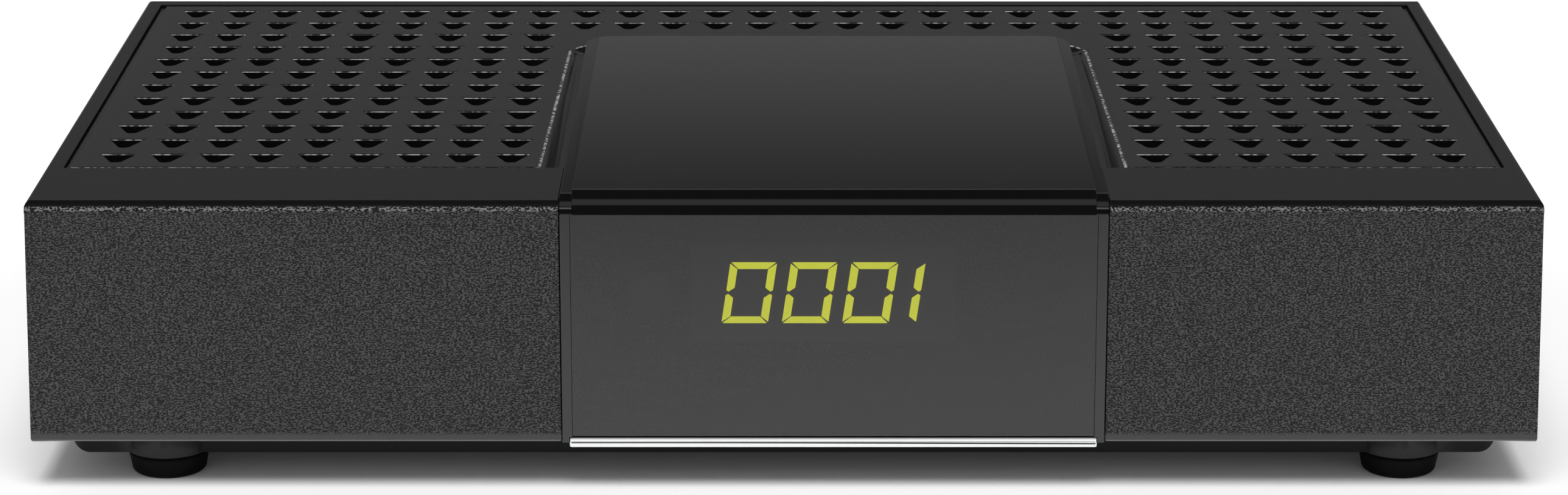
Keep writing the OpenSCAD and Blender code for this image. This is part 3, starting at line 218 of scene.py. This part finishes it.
def new_material(name):
    """Empty material: its tree, its Principled shader and its Object coordinates."""
    mat = bpy.data.materials.new(name)
    mat.use_nodes = True
    tree = mat.node_tree
    shader = tree.nodes["Principled BSDF"]
    coords = add(tree, "ShaderNodeTexCoord").outputs["Object"]
    return mat, tree, shader, coords


def levels(tree, share, stops, whole):
    """Brightness that follows a share of the whole through the stops."""
    node = add(tree, "ShaderNodeValToRGB", {"Fac": share})
    elements = node.color_ramp.elements
    while len(elements) < len(stops):
        elements.new(1.0)
    for element, (place, level) in zip(elements, stops):
        element.position = place / whole
        element.color = (level, level, level, 1)
    return node.outputs["Color"]


def per_mm(size):
    """Texture scale at which a pattern repeats about every size millimetres."""
    return 1 / (size * MM)


# Pieces

def deselect():
    """Leaves edit mode and selects nothing."""
    if bpy.context.mode != "OBJECT":
        bpy.ops.object.mode_set(mode="OBJECT")
    bpy.ops.object.select_all(action="DESELECT")


def choose(piece):
    """Selects one piece alone and makes it the active one."""
    deselect()
    piece.select_set(True)
    bpy.context.view_layer.objects.active = piece


def copy_of(node, name):
    """Merged copy of a CAD node's mesh."""
    piece = bpy.data.objects.new(name, frame["nodes"][node].data.copy())
    bpy.context.collection.objects.link(piece)
    piece.data.materials.clear()
    choose(piece)
    bpy.ops.object.mode_set(mode="EDIT")
    bpy.ops.mesh.select_all(action="SELECT")
    bpy.ops.mesh.remove_doubles(threshold=MERGE * MM)
    bpy.ops.object.mode_set(mode="OBJECT")
    return piece


def slab(name, low, high):
    """Box between two corners, with its place in its mesh."""
    deselect()
    middle = [(a + b) / 2 * MM for a, b in zip(low, high)]
    bpy.ops.mesh.primitive_cube_add(size=1, calc_uvs=False, location=middle)
    piece = bpy.context.object
    piece.name = name
    piece.scale = [(b - a) * MM for a, b in zip(low, high)]
    bpy.ops.object.transform_apply(location=True, rotation=True, scale=True)
    return piece


def apply_all(piece):
    """Applies a piece's modifiers in their order."""
    choose(piece)
    for modifier in list(piece.modifiers):
        bpy.ops.object.modifier_apply(modifier=modifier.name)


def round_edges(piece, width, wanted, segments=3):
    """Rounds the sharp edges that are wanted, judged by their ends and by the faces that meet there."""
    mesh = piece.data
    meeting = {}
    for face in mesh.polygons:
        for key in face.edge_keys:
            meeting.setdefault(key, []).append(face.normal.copy())
    choose(piece)
    bpy.ops.object.mode_set(mode="EDIT")
    bpy.ops.mesh.select_mode(type="EDGE")
    bpy.ops.mesh.select_all(action="DESELECT")
    bpy.ops.object.mode_set(mode="OBJECT")
    for edge in mesh.edges:
        one, other = meeting[edge.key]
        ends = [mesh.vertices[i].co / MM for i in edge.vertices]
        edge.select = one.angle(other) > CORNER_ANGLE and wanted(ends, (one, other))
    bpy.ops.object.mode_set(mode="EDIT")
    bpy.ops.mesh.bevel(offset=width * MM, segments=segments, miter_outer="ARC", clamp_overlap=False)
    bpy.ops.object.mode_set(mode="OBJECT")


def at_height(z):
    """Picks the edges that lie in a level plane."""
    return lambda ends, normals: all(abs(end.z - z) < TOUCH for end in ends)


def upright(ends, normals):
    """Picks the edges that stand upright."""
    return abs(ends[0].x - ends[1].x) < TOUCH and abs(ends[0].y - ends[1].y) < TOUCH


def looking_out(middle, nearest, furthest):
    """Picks the edges of side faces that look away from the middle, between two distances from it."""
    return lambda ends, normals: (
        all(nearest - TOUCH < abs(end.x - middle) < furthest + TOUCH for end in ends)
        and any(normal.x * (ends[0].x - middle) > SIDEWAYS * abs(ends[0].x - middle)
                for normal in normals))


def soften(piece, width, segments=2):
    """Rounds the hard edges and keeps the flat faces flat to the eye."""
    bevel = piece.modifiers.new("round", "BEVEL")
    bevel.limit_method = "ANGLE"
    bevel.angle_limit = CORNER_ANGLE
    bevel.width = width * MM
    bevel.segments = segments
    bevel.use_clamp_overlap = True
    bevel.miter_outer = "MITER_ARC"
    apply_all(piece)
    smooth(piece)


def smooth(piece, crease=CREASE_ANGLE):
    """Shades a piece smooth between its creases, with its large faces flat to the eye."""
    choose(piece)
    bpy.ops.object.shade_smooth_by_angle(angle=crease)
    weighted = piece.modifiers.new("flat faces", "WEIGHTED_NORMAL")
    weighted.keep_sharp = True
    apply_all(piece)


def true_rounds(piece, rounds, flat_area=math.inf):
    """Shades the facets of a moulding's level rounds by the rounds themselves, each given by its axis
    and radius, and every other face above an area as flat."""
    mesh = piece.data
    normals = [corner.vector.copy() for corner in mesh.corner_normals]
    for face in mesh.polygons:
        points = [mesh.vertices[i].co / MM for i in face.vertices]
        own = [face.normal] * len(points) if face.area > flat_area * MM ** 2 else []
        for y, z, r in rounds:
            spokes = [Vector((0, point.y - y, point.z - z)) for point in points]
            if all(abs(spoke.length - r) < TOUCH and spoke.dot(face.normal) > ALONG_SPOKES * r
                   for spoke in spokes):
                own = [spoke.normalized() for spoke in spokes]
        for loop, normal in zip(face.loop_indices, own):
            normals[loop] = normal
    mesh.normals_split_custom_set(normals)


def stands_for(piece, node, material):
    """Puts a finished piece in the place of a CAD node."""
    piece.data.materials.clear()
    piece.data.materials.append(material)
    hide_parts(node)
    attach(piece, "receiver")


def housing_moulding():
    """Upper housing with its upright corners, top edges and rim rounded."""
    piece = copy_of("upper_housing", "upper_housing_moulding")
    outer = looking_out(0, CASE_HIGH[0] - SIDE_DRAFT, CASE_HIGH[0])
    tall = (CASE_TOP - RIM_Z) / 2
    round_edges(piece, HOUSING_CORNER, lambda ends, normals: (
        outer(ends, normals) and abs(ends[0].z - ends[1].z) > tall), segments=5)
    round_edges(piece, HOUSING_ROUND, at_height(CASE_TOP))
    round_edges(piece, RIM_ROUND, at_height(RIM_Z))
    smooth(piece)
    true_rounds(piece, [(FRONT_Y + EDGE_R, CASE_TOP - EDGE_R, EDGE_R)])
    return piece


def grille_moulding():
    """Vent grille with its top edges rounded, those of the vents among them."""
    piece = copy_of("vent_grille", "vent_grille_moulding")
    round_edges(piece, VENT_ROUND, at_height(CASE_TOP), segments=2)
    smooth(piece, GRILLE_CREASE)
    return piece


def cover_moulding():
    """Centre cover with its side edges and steps rounded, and the noses of its panel and its strips
    shaded as true rounds."""
    piece = copy_of("centre_cover", "centre_cover_moulding")
    low, high = corners("centre_cover")
    middle, half = (low[0] + high[0]) / 2, (high[0] - low[0]) / 2
    round_edges(piece, COVER_ROUND, looking_out(middle, half, half))
    round_edges(piece, STEP_ROUND, looking_out(middle, half - STRIP_REACH, half - STRIP_REACH / 2))
    smooth(piece, COVER_CREASE)
    axis_z, strip_r = high[2] - NOSE_R, NOSE_R - STRIP_DROP
    noses = [(low[1] + NOSE_R, axis_z, NOSE_R), (low[1] + strip_r, axis_z, strip_r)]
    true_rounds(piece, noses, FLAT_AREA)
    return piece


def base_moulding():
    """Base tray with its lowest edges rounded."""
    piece = copy_of("base_tray", "base_tray_moulding")
    round_edges(piece, BASE_ROUND, at_height(corners("base_tray")[0][2]))
    smooth(piece)
    return piece


def panel_plate():
    """Rear panel with all its hard edges rounded."""
    piece = copy_of("rear_panel", "rear_panel_moulding")
    soften(piece, PANEL_ROUND)
    return piece


def window_pane():
    """Window pane that fills its opening, with its upright edges rounded."""
    low, high = corners("display_window")
    pane = slab("window_pane", [low[0] - WINDOW_FIT, low[1], low[2]],
                [high[0] + WINDOW_FIT, high[1], high[2] + WINDOW_FIT])
    round_edges(pane, WINDOW_ROUND, upright)
    smooth(pane)
    return pane


def chrome_bar():
    """Chrome strip as a rounded bar with a groove along its front."""
    low, high = corners("chrome_strip")
    bar = slab("chrome_bar", low, high)
    soften(bar, CHROME_ROUND, segments=4)
    top = high[2] - GROOVE_FROM_TOP * (high[2] - low[2])
    bottom = top - GROOVE_WIDTH
    left, right = low[0] + GROOVE_END, high[0] - GROOVE_END
    cuts = [((0, 0, top), (0, 0, 1)), ((0, 0, bottom), (0, 0, 1)),
            ((left, 0, 0), (1, 0, 0)), ((right, 0, 0), (1, 0, 0))]
    choose(bar)
    bpy.ops.object.mode_set(mode="EDIT")
    for place, normal in cuts:
        bpy.ops.mesh.select_all(action="SELECT")
        bpy.ops.mesh.bisect(plane_co=[v * MM for v in place], plane_no=normal)
    bpy.ops.mesh.select_all(action="DESELECT")
    bpy.ops.object.mode_set(mode="OBJECT")
    for face in bar.data.polygons:
        x, z = face.center.x / MM, face.center.z / MM
        face.select = face.normal.y < -FORWARDS and bottom < z < top and left < x < right
    bpy.ops.object.mode_set(mode="EDIT")
    bpy.ops.mesh.select_mode(type="FACE")
    bpy.ops.mesh.extrude_region_move(TRANSFORM_OT_translate={"value": (0, GROOVE_DEPTH * MM, 0)})
    # The extrusion leaves the groove's faces in no fixed order, which shows a little in the shading
    bpy.ops.mesh.select_more()
    bpy.ops.mesh.sort_elements(type="CURSOR_DISTANCE", elements={"FACE"})
    bpy.ops.object.mode_set(mode="OBJECT")
    return bar


# Materials

def grained_abs():
    """Black ABS, moulded in a tool with a leather grain on the walls and a fine matt on the top. The
    eye sees short level wrinkles with a painted highlight on their ridges, brightest on the top edge,
    painted shade in their valleys, a painted highlight along the rim and an even grey bloom on the top."""
    mat, tree, shader, coords = new_material("grained_abs")
    up = add(tree, "ShaderNodeSeparateXYZ", {"Vector": coords}).outputs["Z"]
    below_top = add(tree, "ShaderNodeMapRange", {
        "Value": up, "From Min": (CASE_TOP - GRAIN_FULL) * MM,
        "From Max": (CASE_TOP - GRAIN_START) * MM, "To Min": 1.0, "To Max": 0.0})
    on_wall = add(tree, "ShaderNodeMapRange", {
        "Value": up, "From Min": (RIM_Z + GRAIN_END) * MM,
        "From Max": (RIM_Z + GRAIN_FADE) * MM, "To Max": below_top.outputs["Result"]})
    polish = add(tree, "ShaderNodeMapRange", {
        "Value": up, "From Min": (CASE_TOP - WALL_POLISH) * MM,
        "From Max": (CASE_TOP - TOP_POLISH) * MM, "To Min": 0.3, "To Max": 0.26})
    along, upward = per_mm(WRINKLE_LENGTH), per_mm(WRINKLE_HEIGHT)
    stretched = add(tree, "ShaderNodeMapping", {"Vector": coords, "Scale": (along, along, upward)})
    wrinkles = add(tree, "ShaderNodeTexNoise", {
        "Vector": stretched.outputs["Vector"], "Scale": 1.0, "Detail": 0.3, "Distortion": 0.2})
    ridge = add(tree, "ShaderNodeMapRange", {
        "Value": wrinkles.outputs["Fac"], "From Min": 0.44, "From Max": 0.62})
    # The wrinkles' ridges get a painted highlight, paler on the front edge's round, and their valleys
    # painted shade
    edge_highlight_mask = add(tree, "ShaderNodeMapRange", {
        "Value": up, "From Min": (CASE_TOP - EDGE_R + EDGE_HIGHLIGHT_START) * MM,
        "From Max": (CASE_TOP - EDGE_R + EDGE_HIGHLIGHT_FULL) * MM})
    ridge_highlight_tint = add(tree, "ShaderNodeMix", {
        "Factor": edge_highlight_mask.outputs["Result"], "A": linear("#4e4e4f"), "B": linear("#7c7c7c")},
        data_type="RGBA")
    relief_shade_tint = add(tree, "ShaderNodeMix", {
        "Factor": ridge.outputs["Result"], "A": linear("#121213"), "B": ridge_highlight_tint.outputs["Result"]},
        data_type="RGBA")
    # Without grain: a painted highlight along the rim and a painted reflection just above it
    risen = add(tree, "ShaderNodeMapRange", {
        "Value": up, "From Min": RIM_Z * MM, "From Max": CASE_TOP * MM})
    plain_tint_and_rim_highlight = levels(tree, risen.outputs["Result"], PLAIN_TINT_AND_RIM_HIGHLIGHT, CASE_TOP - RIM_Z)
    tint = add(tree, "ShaderNodeMix", {
        "Factor": on_wall.outputs["Result"], "A": plain_tint_and_rim_highlight, "B": relief_shade_tint.outputs["Result"]},
        data_type="RGBA")
    height = add(tree, "ShaderNodeMath", {0: wrinkles.outputs["Fac"], 1: on_wall.outputs["Result"]},
                 operation="MULTIPLY")
    grain = add(tree, "ShaderNodeBump", {
        "Height": height.outputs["Value"], "Strength": 1.0, "Distance": WRINKLE_DEPTH * MM})
    fine = add(tree, "ShaderNodeTexNoise", {
        "Vector": coords, "Scale": per_mm(HOUSING_MATT), "Detail": 2.0})
    matt = add(tree, "ShaderNodeBump", {
        "Height": fine.outputs["Fac"], "Strength": 0.25, "Distance": MATT_DEPTH * MM,
        "Normal": grain.outputs["Normal"]})
    fill(tree, shader, {
        "IOR": 1.53, "Specular IOR Level": 0.2, "Roughness": polish.outputs["Result"],
        "Base Color": tint.outputs["Result"], "Normal": matt.outputs["Normal"]})
    return mat


def matt_abs():
    """Black ABS from a spark-eroded tool: an even fine matt that greys at a low angle, with a painted
    highlight in broken patches along the edges of the vents."""
    mat, tree, shader, coords = new_material("matt_abs")
    up = add(tree, "ShaderNodeSeparateXYZ", {"Vector": coords}).outputs["Z"]
    above_wall = add(tree, "ShaderNodeMapRange", {
        "Value": up, "From Min": (CASE_TOP - VENT_ROUND - TOUCH) * MM,
        "From Max": (CASE_TOP - VENT_ROUND + TOUCH) * MM})
    on_highlit_rim = add(tree, "ShaderNodeMapRange", {
        "Value": up, "From Min": (CASE_TOP - HIGHLIGHT_FADE) * MM, "From Max": (CASE_TOP - HIGHLIGHT_END) * MM,
        "To Min": above_wall.outputs["Result"], "To Max": 0.0})
    # Broken patches of painted highlight along the top edges of the vents
    highlight_patches = add(tree, "ShaderNodeTexNoise", {
        "Vector": coords, "Scale": per_mm(HIGHLIGHT_PATCH), "Detail": 1.0})
    highlit = add(tree, "ShaderNodeMapRange", {
        "Value": highlight_patches.outputs["Fac"], "From Min": 0.42, "From Max": 0.62})
    rim_highlight_tint = add(tree, "ShaderNodeMix", {
        "Factor": highlit.outputs["Result"], "A": linear("#2c2c2e"), "B": linear("#a4a4a4")},
        data_type="RGBA")
    fine = add(tree, "ShaderNodeTexNoise", {
        "Vector": coords, "Scale": per_mm(GRILLE_MATT), "Detail": 2.0})
    field_tint = add(tree, "ShaderNodeMix", {
        "Factor": fine.outputs["Fac"], "A": linear("#0c0c0d"), "B": linear("#121213")},
        data_type="RGBA")
    tint = add(tree, "ShaderNodeMix", {
        "Factor": on_highlit_rim.outputs["Result"], "A": field_tint.outputs["Result"],
        "B": rim_highlight_tint.outputs["Result"]}, data_type="RGBA")
    bump = add(tree, "ShaderNodeBump", {
        "Height": fine.outputs["Fac"], "Strength": 0.3, "Distance": MATT_DEPTH * MM})
    fill(tree, shader, {
        "IOR": 1.53, "Specular IOR Level": 0.4, "Roughness": 0.25,
        "Base Color": tint.outputs["Result"], "Normal": bump.outputs["Normal"]})
    return mat


def piano_black():
    """Polished black ABS: a deep black that shows only what it mirrors, with a trace of ripple."""
    mat, tree, shader, coords = new_material("piano_black")
    haze = add(tree, "ShaderNodeTexNoise", {
        "Vector": coords, "Scale": per_mm(HAZE_PATCH), "Detail": 3.0})
    rough = add(tree, "ShaderNodeMapRange", {
        "Value": haze.outputs["Fac"], "To Min": 0.045, "To Max": 0.085})
    ripple = add(tree, "ShaderNodeBump", {
        "Height": haze.outputs["Fac"], "Strength": 0.02, "Distance": RIPPLE_DEPTH * MM})
    fill(tree, shader, {
        "Base Color": linear("#060607"), "IOR": 1.58, "Roughness": rough.outputs["Result"],
        "Normal": ripple.outputs["Normal"]})
    return mat


def smoked_acrylic():
    """Cast smoked acrylic, polished: nearly black until something behind it is lit."""
    mat, tree, shader, coords = new_material("smoked_acrylic")
    cloud = add(tree, "ShaderNodeTexNoise", {
        "Vector": coords, "Scale": per_mm(CLOUD_PATCH), "Detail": 2.0})
    tint = add(tree, "ShaderNodeMix", {
        "Factor": cloud.outputs["Fac"], "A": linear("#3a3a3c"), "B": linear("#404042")},
        data_type="RGBA")
    rough = add(tree, "ShaderNodeMapRange", {
        "Value": cloud.outputs["Fac"], "To Min": 0.01, "To Max": 0.03})
    fill(tree, shader, {
        "IOR": 1.58, "Transmission Weight": 1.0, "Base Color": tint.outputs["Result"],
        "Roughness": rough.outputs["Result"]})
    return mat


def metal(name, dark, light, rough, grain):
    """Plated or bare metal: its tone and polish vary a little with the grain of its surface."""
    mat, tree, shader, coords = new_material(name)
    flecks = add(tree, "ShaderNodeTexNoise", {"Vector": coords, "Scale": per_mm(grain), "Detail": 3.0})
    tint = add(tree, "ShaderNodeMix", {
        "Factor": flecks.outputs["Fac"], "A": linear(dark), "B": linear(light)}, data_type="RGBA")
    polish = add(tree, "ShaderNodeMapRange", {
        "Value": flecks.outputs["Fac"], "To Min": rough[0], "To Max": rough[1]})
    fill(tree, shader, {
        "Metallic": 1.0, "Base Color": tint.outputs["Result"], "Roughness": polish.outputs["Result"]})
    return mat


def moulded(name, dark, light, rough, grain, depth, relief=0.3, gloss=0.5):
    """Moulded or coated surface: a fine texture of its own grain size and a slight drift of tone."""
    mat, tree, shader, coords = new_material(name)
    fine = add(tree, "ShaderNodeTexNoise", {"Vector": coords, "Scale": per_mm(grain), "Detail": 2.0})
    tint = add(tree, "ShaderNodeMix", {
        "Factor": fine.outputs["Fac"], "A": linear(dark), "B": linear(light)}, data_type="RGBA")
    bump = add(tree, "ShaderNodeBump", {
        "Height": fine.outputs["Fac"], "Strength": relief, "Distance": depth * MM})
    fill(tree, shader, {
        "IOR": 1.5, "Specular IOR Level": gloss, "Roughness": rough,
        "Base Color": tint.outputs["Result"], "Normal": bump.outputs["Normal"]})
    return mat


def pebbled_rubber():
    """Moulded black rubber with round pebbles, dull and deep."""
    mat, tree, shader, coords = new_material("pebbled_rubber")
    pebbles = add(tree, "ShaderNodeTexVoronoi", {"Vector": coords, "Scale": per_mm(PEBBLE_SIZE)},
                  feature="SMOOTH_F1")
    # A shade darker between the pebbles: painted shade in the hollows
    tint = add(tree, "ShaderNodeMix", {
        "Factor": pebbles.outputs["Distance"], "A": linear("#050506"), "B": linear("#030304")},
        data_type="RGBA")
    bump = add(tree, "ShaderNodeBump", {
        "Height": pebbles.outputs["Distance"], "Strength": 0.8, "Distance": PEBBLE_DEPTH * MM},
        invert=True)
    fill(tree, shader, {
        "Specular IOR Level": 0.1, "Roughness": 0.7, "Base Color": tint.outputs["Result"],
        "Normal": bump.outputs["Normal"]})
    return mat


def solder_mask():
    """Green solder mask over copper tracks: lighter lines where the copper lies under the lacquer."""
    mat, tree, shader, coords = new_material("solder_mask")
    tracks = add(tree, "ShaderNodeTexBrick", {
        "Vector": coords, "Scale": per_mm(1.0), "Mortar Size": TRACK_WIDTH, "Brick Width": TRACK_LENGTH,
        "Row Height": TRACK_PITCH, "Color1": linear("#1d5a37"), "Color2": linear("#195031"),
        "Mortar": linear("#2f7a4c")}, offset=0.37)
    relief = add(tree, "ShaderNodeBump", {
        "Height": tracks.outputs["Fac"], "Strength": 0.4, "Distance": TRACK_DEPTH * MM})
    fill(tree, shader, {
        "Roughness": 0.3, "Base Color": tracks.outputs["Color"], "Normal": relief.outputs["Normal"]})
    return mat


def lit_bar():
    """Diffused light bar of a yellow-green display, glowing evenly."""
    mat, tree, shader, coords = new_material("lit_bar")
    glow = add(tree, "ShaderNodeTexNoise", {
        "Vector": coords, "Scale": per_mm(GLOW_PATCH), "Detail": 1.0})
    tint = add(tree, "ShaderNodeMix", {
        "Factor": glow.outputs["Fac"], "A": linear("#b0b414"), "B": linear("#b8bd18")},
        data_type="RGBA")
    fill(tree, shader, {
        "Base Color": linear("#20220a"), "Roughness": 0.5, "Emission Color": tint.outputs["Result"],
        "Emission Strength": 24.0})
    return mat


def ribbon_wires():
    """Flat ribbon cable: ribs one wire pitch apart, with grooves between them."""
    mat, tree, shader, coords = new_material("ribbon_wires")
    ribs = add(tree, "ShaderNodeTexWave", {
        "Vector": coords, "Scale": per_mm(WIRE_PITCH) * 2 * math.pi / WAVE_RATE, "Distortion": 0.0},
        wave_type="BANDS", bands_direction="X")
    # Darker in the grooves between the wires: painted shade
    tint = add(tree, "ShaderNodeMix", {
        "Factor": ribs.outputs["Fac"], "A": linear("#6d6f72"), "B": linear("#9b9d9f")},
        data_type="RGBA")
    relief = add(tree, "ShaderNodeBump", {
        "Height": ribs.outputs["Fac"], "Strength": 0.8, "Distance": WIRE_DEPTH * MM})
    fill(tree, shader, {
        "Roughness": 0.5, "Base Color": tint.outputs["Result"], "Normal": relief.outputs["Normal"]})
    return mat


# The finish of each material slot. Grain and depth are in millimetres.
FINISHES = {
    "abs_grained": grained_abs(),
    "abs_fine": matt_abs(),
    "gloss_black": piano_black(),
    "smoked_acrylic": smoked_acrylic(),
    # Chrome plate, polished: a bright mirror with hardly any haze
    "chrome_trim": metal("chrome_plate", "#d8d9da", "#dfe0e0", rough=(0.06, 0.1), grain=4.0),
    # Black ABS, moulded with a plain grain: dull, with little gloss
    "base_plastic": moulded("base_abs", "#131415", "#191a1b", rough=0.55, grain=0.3, depth=0.03,
                            gloss=0.3),
    "rubber": pebbled_rubber(),
    # Powder coat, baked on sheet steel: dark grey with a slight orange peel
    "panel_steel": moulded("powder_coat", "#242527", "#2c2d2f", rough=0.5, grain=0.6, depth=0.05,
                           relief=0.5),
    # Zinc plate on screws: a dull mid grey metal
    "screw_steel": metal("zinc_plate", "#77787a", "#909193", rough=(0.3, 0.42), grain=0.5),
    "board": solder_mask(),
    # Filled epoxy, cast: near black and dull
    "led_body": moulded("filled_epoxy", "#111112", "#18181a", rough=0.55, grain=0.3, depth=0.02),
    "lit": lit_bar(),
    # Light bar without light, cast in tinted epoxy: a dark olive grey
    "unlit": moulded("unlit_bar", "#2b2c27", "#31322c", rough=0.4, grain=0.6, depth=0.01),
    # Black nylon, moulded: dark with a soft sheen
    "black_plastic": moulded("connector_nylon", "#161617", "#1e1e20", rough=0.45, grain=0.35,
                             depth=0.03),
    # Natural nylon, moulded: a warm white with a soft sheen
    "white_plastic": moulded("natural_nylon", "#dcdad0", "#e8e6de", rough=0.45, grain=0.35, depth=0.02),
    # Dyed nylon, moulded: a strong orange with a soft sheen
    "orange_plastic": moulded("orange_nylon", "#c8611a", "#d87026", rough=0.4, grain=0.35, depth=0.02),
    "ribbon": ribbon_wires(),
    # Tin plate, rolled: pale, with a soft mirror
    "tin_plate": metal("tin_plate", "#b3b5b7", "#c9cbcc", rough=(0.22, 0.34), grain=1.2),
    # Nickel plate: a pale, slightly warm mirror
    "nickel": metal("nickel_plate", "#bdbcb8", "#cfcecb", rough=(0.16, 0.26), grain=0.8),
    # Plated brass, stamped: yellow and fairly bright
    "contact": metal("plated_brass", "#b98f3c", "#d2a954", rough=(0.2, 0.3), grain=0.6),
    # Chip epoxy, moulded: dark grey with an even matt
    "package": moulded("chip_epoxy", "#17181a", "#202124", rough=0.5, grain=0.2, depth=0.02),
    # Silicone pad, rolled: a pale blue grey without gloss
    "pad": moulded("silicone_pad", "#8b949d", "#9aa3ac", rough=0.8, grain=0.4, depth=0.03),
    # Black anodised aluminium, extruded: dark with a soft sheen
    "sink": moulded("black_anodise", "#1f2022", "#2a2b2e", rough=0.4, grain=0.3, depth=0.02),
    # Shrunk sleeve of a capacitor: a smooth dark blue
    "can": moulded("can_sleeve", "#232a38", "#2c3444", rough=0.35, grain=0.5, depth=0.01),
    # Ferrite, sintered: grey, dull and grainy
    "ferrite": moulded("ferrite", "#2b2c2e", "#393a3c", rough=0.65, grain=0.25, depth=0.04),
}


def dress():
    """New pieces for what the photograph shows best, and a finish for every CAD node."""
    slots = {part["node"]: part["material_slot"] for part in frame["record"]["subparts"]}
    for node, obj in frame["nodes"].items():
        obj.data.materials.clear()
        obj.data.materials.append(FINISHES[slots[node]])
    shaped = {
        "upper_housing": housing_moulding(),
        "vent_grille": grille_moulding(),
        "centre_cover": cover_moulding(),
        "base_tray": base_moulding(),
        "rear_panel": panel_plate(),
        "display_window": window_pane(),
        "chrome_strip": chrome_bar(),
    }
    for end in ("front", "rear"):
        for side in ("left", "right"):
            node = f"foot_{end}_{side}"
            shaped[node] = copy_of(node, node + "_rubber")
            smooth(shaped[node])
    for node, piece in shaped.items():
        stands_for(piece, node, FINISHES[slots[node]])


# Stage, light and camera

def floor():
    """Matt white paper that keeps the shadow. Its colour in reflections is a painted pool of light,
    bright near the case and darker further away.
    """
    deselect()
    bpy.ops.mesh.primitive_plane_add(size=FLOOR_SIZE * MM)
    plane = bpy.context.object
    plane.name = "floor"
    mat, tree, shader, coords = new_material("white_sweep")
    path = add(tree, "ShaderNodeLightPath")
    place = add(tree, "ShaderNodeSeparateXYZ", {"Vector": coords})
    reach = MIRRORED_FLOOR[-1][0]
    ahead = add(tree, "ShaderNodeMapRange", {
        "Value": place.outputs["Y"], "From Min": FRONT_Y * MM, "From Max": (FRONT_Y - reach) * MM})
    # Painted pool of light on the floor, seen only in reflections
    painted_light_pool = levels(tree, ahead.outputs["Result"], MIRRORED_FLOOR, reach)
    paper_and_light_pool = add(tree, "ShaderNodeMix", {
        "Factor": path.outputs["Is Glossy Ray"], "A": linear("#fbfbfb"), "B": painted_light_pool}, data_type="RGBA")
    straight = add(tree, "ShaderNodeMath", {
        0: path.outputs["Is Camera Ray"], 1: path.outputs["Is Glossy Ray"]}, operation="ADD")
    seen = add(tree, "ShaderNodeMath", {
        0: straight.outputs["Value"], 1: path.outputs["Is Transmission Ray"]},
        operation="ADD", use_clamp=True)
    lift = add(tree, "ShaderNodeMath", {0: seen.outputs["Value"], 1: FLOOR_LIFT}, operation="MULTIPLY")
    fill(tree, shader, {
        "Roughness": 1.0, "Specular IOR Level": 0.0, "Base Color": paper_and_light_pool.outputs["Result"],
        "Emission Color": (1, 1, 1, 1), "Emission Strength": lift.outputs["Value"]})
    plane.data.materials.append(mat)


def studio():
    """World that is white to the eye, a soft dome to matt surfaces and a studio of soft boxes to glossy
    ones, and the key light, which glossy surfaces don't mirror."""
    world = bpy.data.worlds.new("studio")
    bpy.context.scene.world = world
    world.use_nodes = True
    world.cycles.sampling_method = "NONE"
    tree = world.node_tree
    tree.nodes.clear()
    path = add(tree, "ShaderNodeLightPath")
    around = add(tree, "ShaderNodeTexCoord").outputs["Generated"]
    way = add(tree, "ShaderNodeSeparateXYZ", {"Vector": around})
    angle = add(tree, "ShaderNodeMath", {0: way.outputs["Z"], 1: way.outputs["Y"]}, operation="ARCTAN2")
    share = add(tree, "ShaderNodeMapRange", {"Value": angle.outputs["Value"], "From Max": math.pi})
    boxes = levels(tree, share.outputs["Result"], MIRRORED_STUDIO, 180)
    lit = add(tree, "ShaderNodeMix", {
        "Factor": path.outputs["Is Glossy Ray"], "A": (DOME, DOME, DOME, 1), "B": boxes},
        data_type="RGBA")
    seen = add(tree, "ShaderNodeMix", {
        "Factor": path.outputs["Is Camera Ray"], "A": lit.outputs["Result"], "B": (1, 1, 1, 1)},
        data_type="RGBA")
    back = add(tree, "ShaderNodeBackground", {"Color": seen.outputs["Result"]})
    add(tree, "ShaderNodeOutputWorld", {"Surface": back.outputs["Background"]})
    bpy.ops.object.light_add(type="SUN", rotation=(math.radians(90 - KEY_ELEVATION), 0, 0))
    key = bpy.context.object
    key.name = "key"
    key.data.energy = KEY_STRENGTH
    key.data.angle = math.radians(KEY_SPREAD)
    key.visible_glossy = False


def camera():
    """Camera at the photograph's viewing angle, straight in front of the case's middle."""
    bpy.ops.object.camera_add(location=(0, (FRONT_Y - CAMERA_BEFORE_FRONT) * MM, CAMERA_HEIGHT * MM),
                              rotation=(math.radians(90 - CAMERA_PITCH), 0, 0))
    view = bpy.context.object
    view.data.sensor_fit = "HORIZONTAL"
    view.data.sensor_width = SENSOR
    view.data.lens = FOCAL_PX / IMAGE_W * SENSOR
    view.data.clip_start = NEAR_CLIP * MM
    bpy.context.scene.camera = view


dress()
floor()
studio()
camera()
bpy.context.scene.view_settings.view_transform = "Standard"
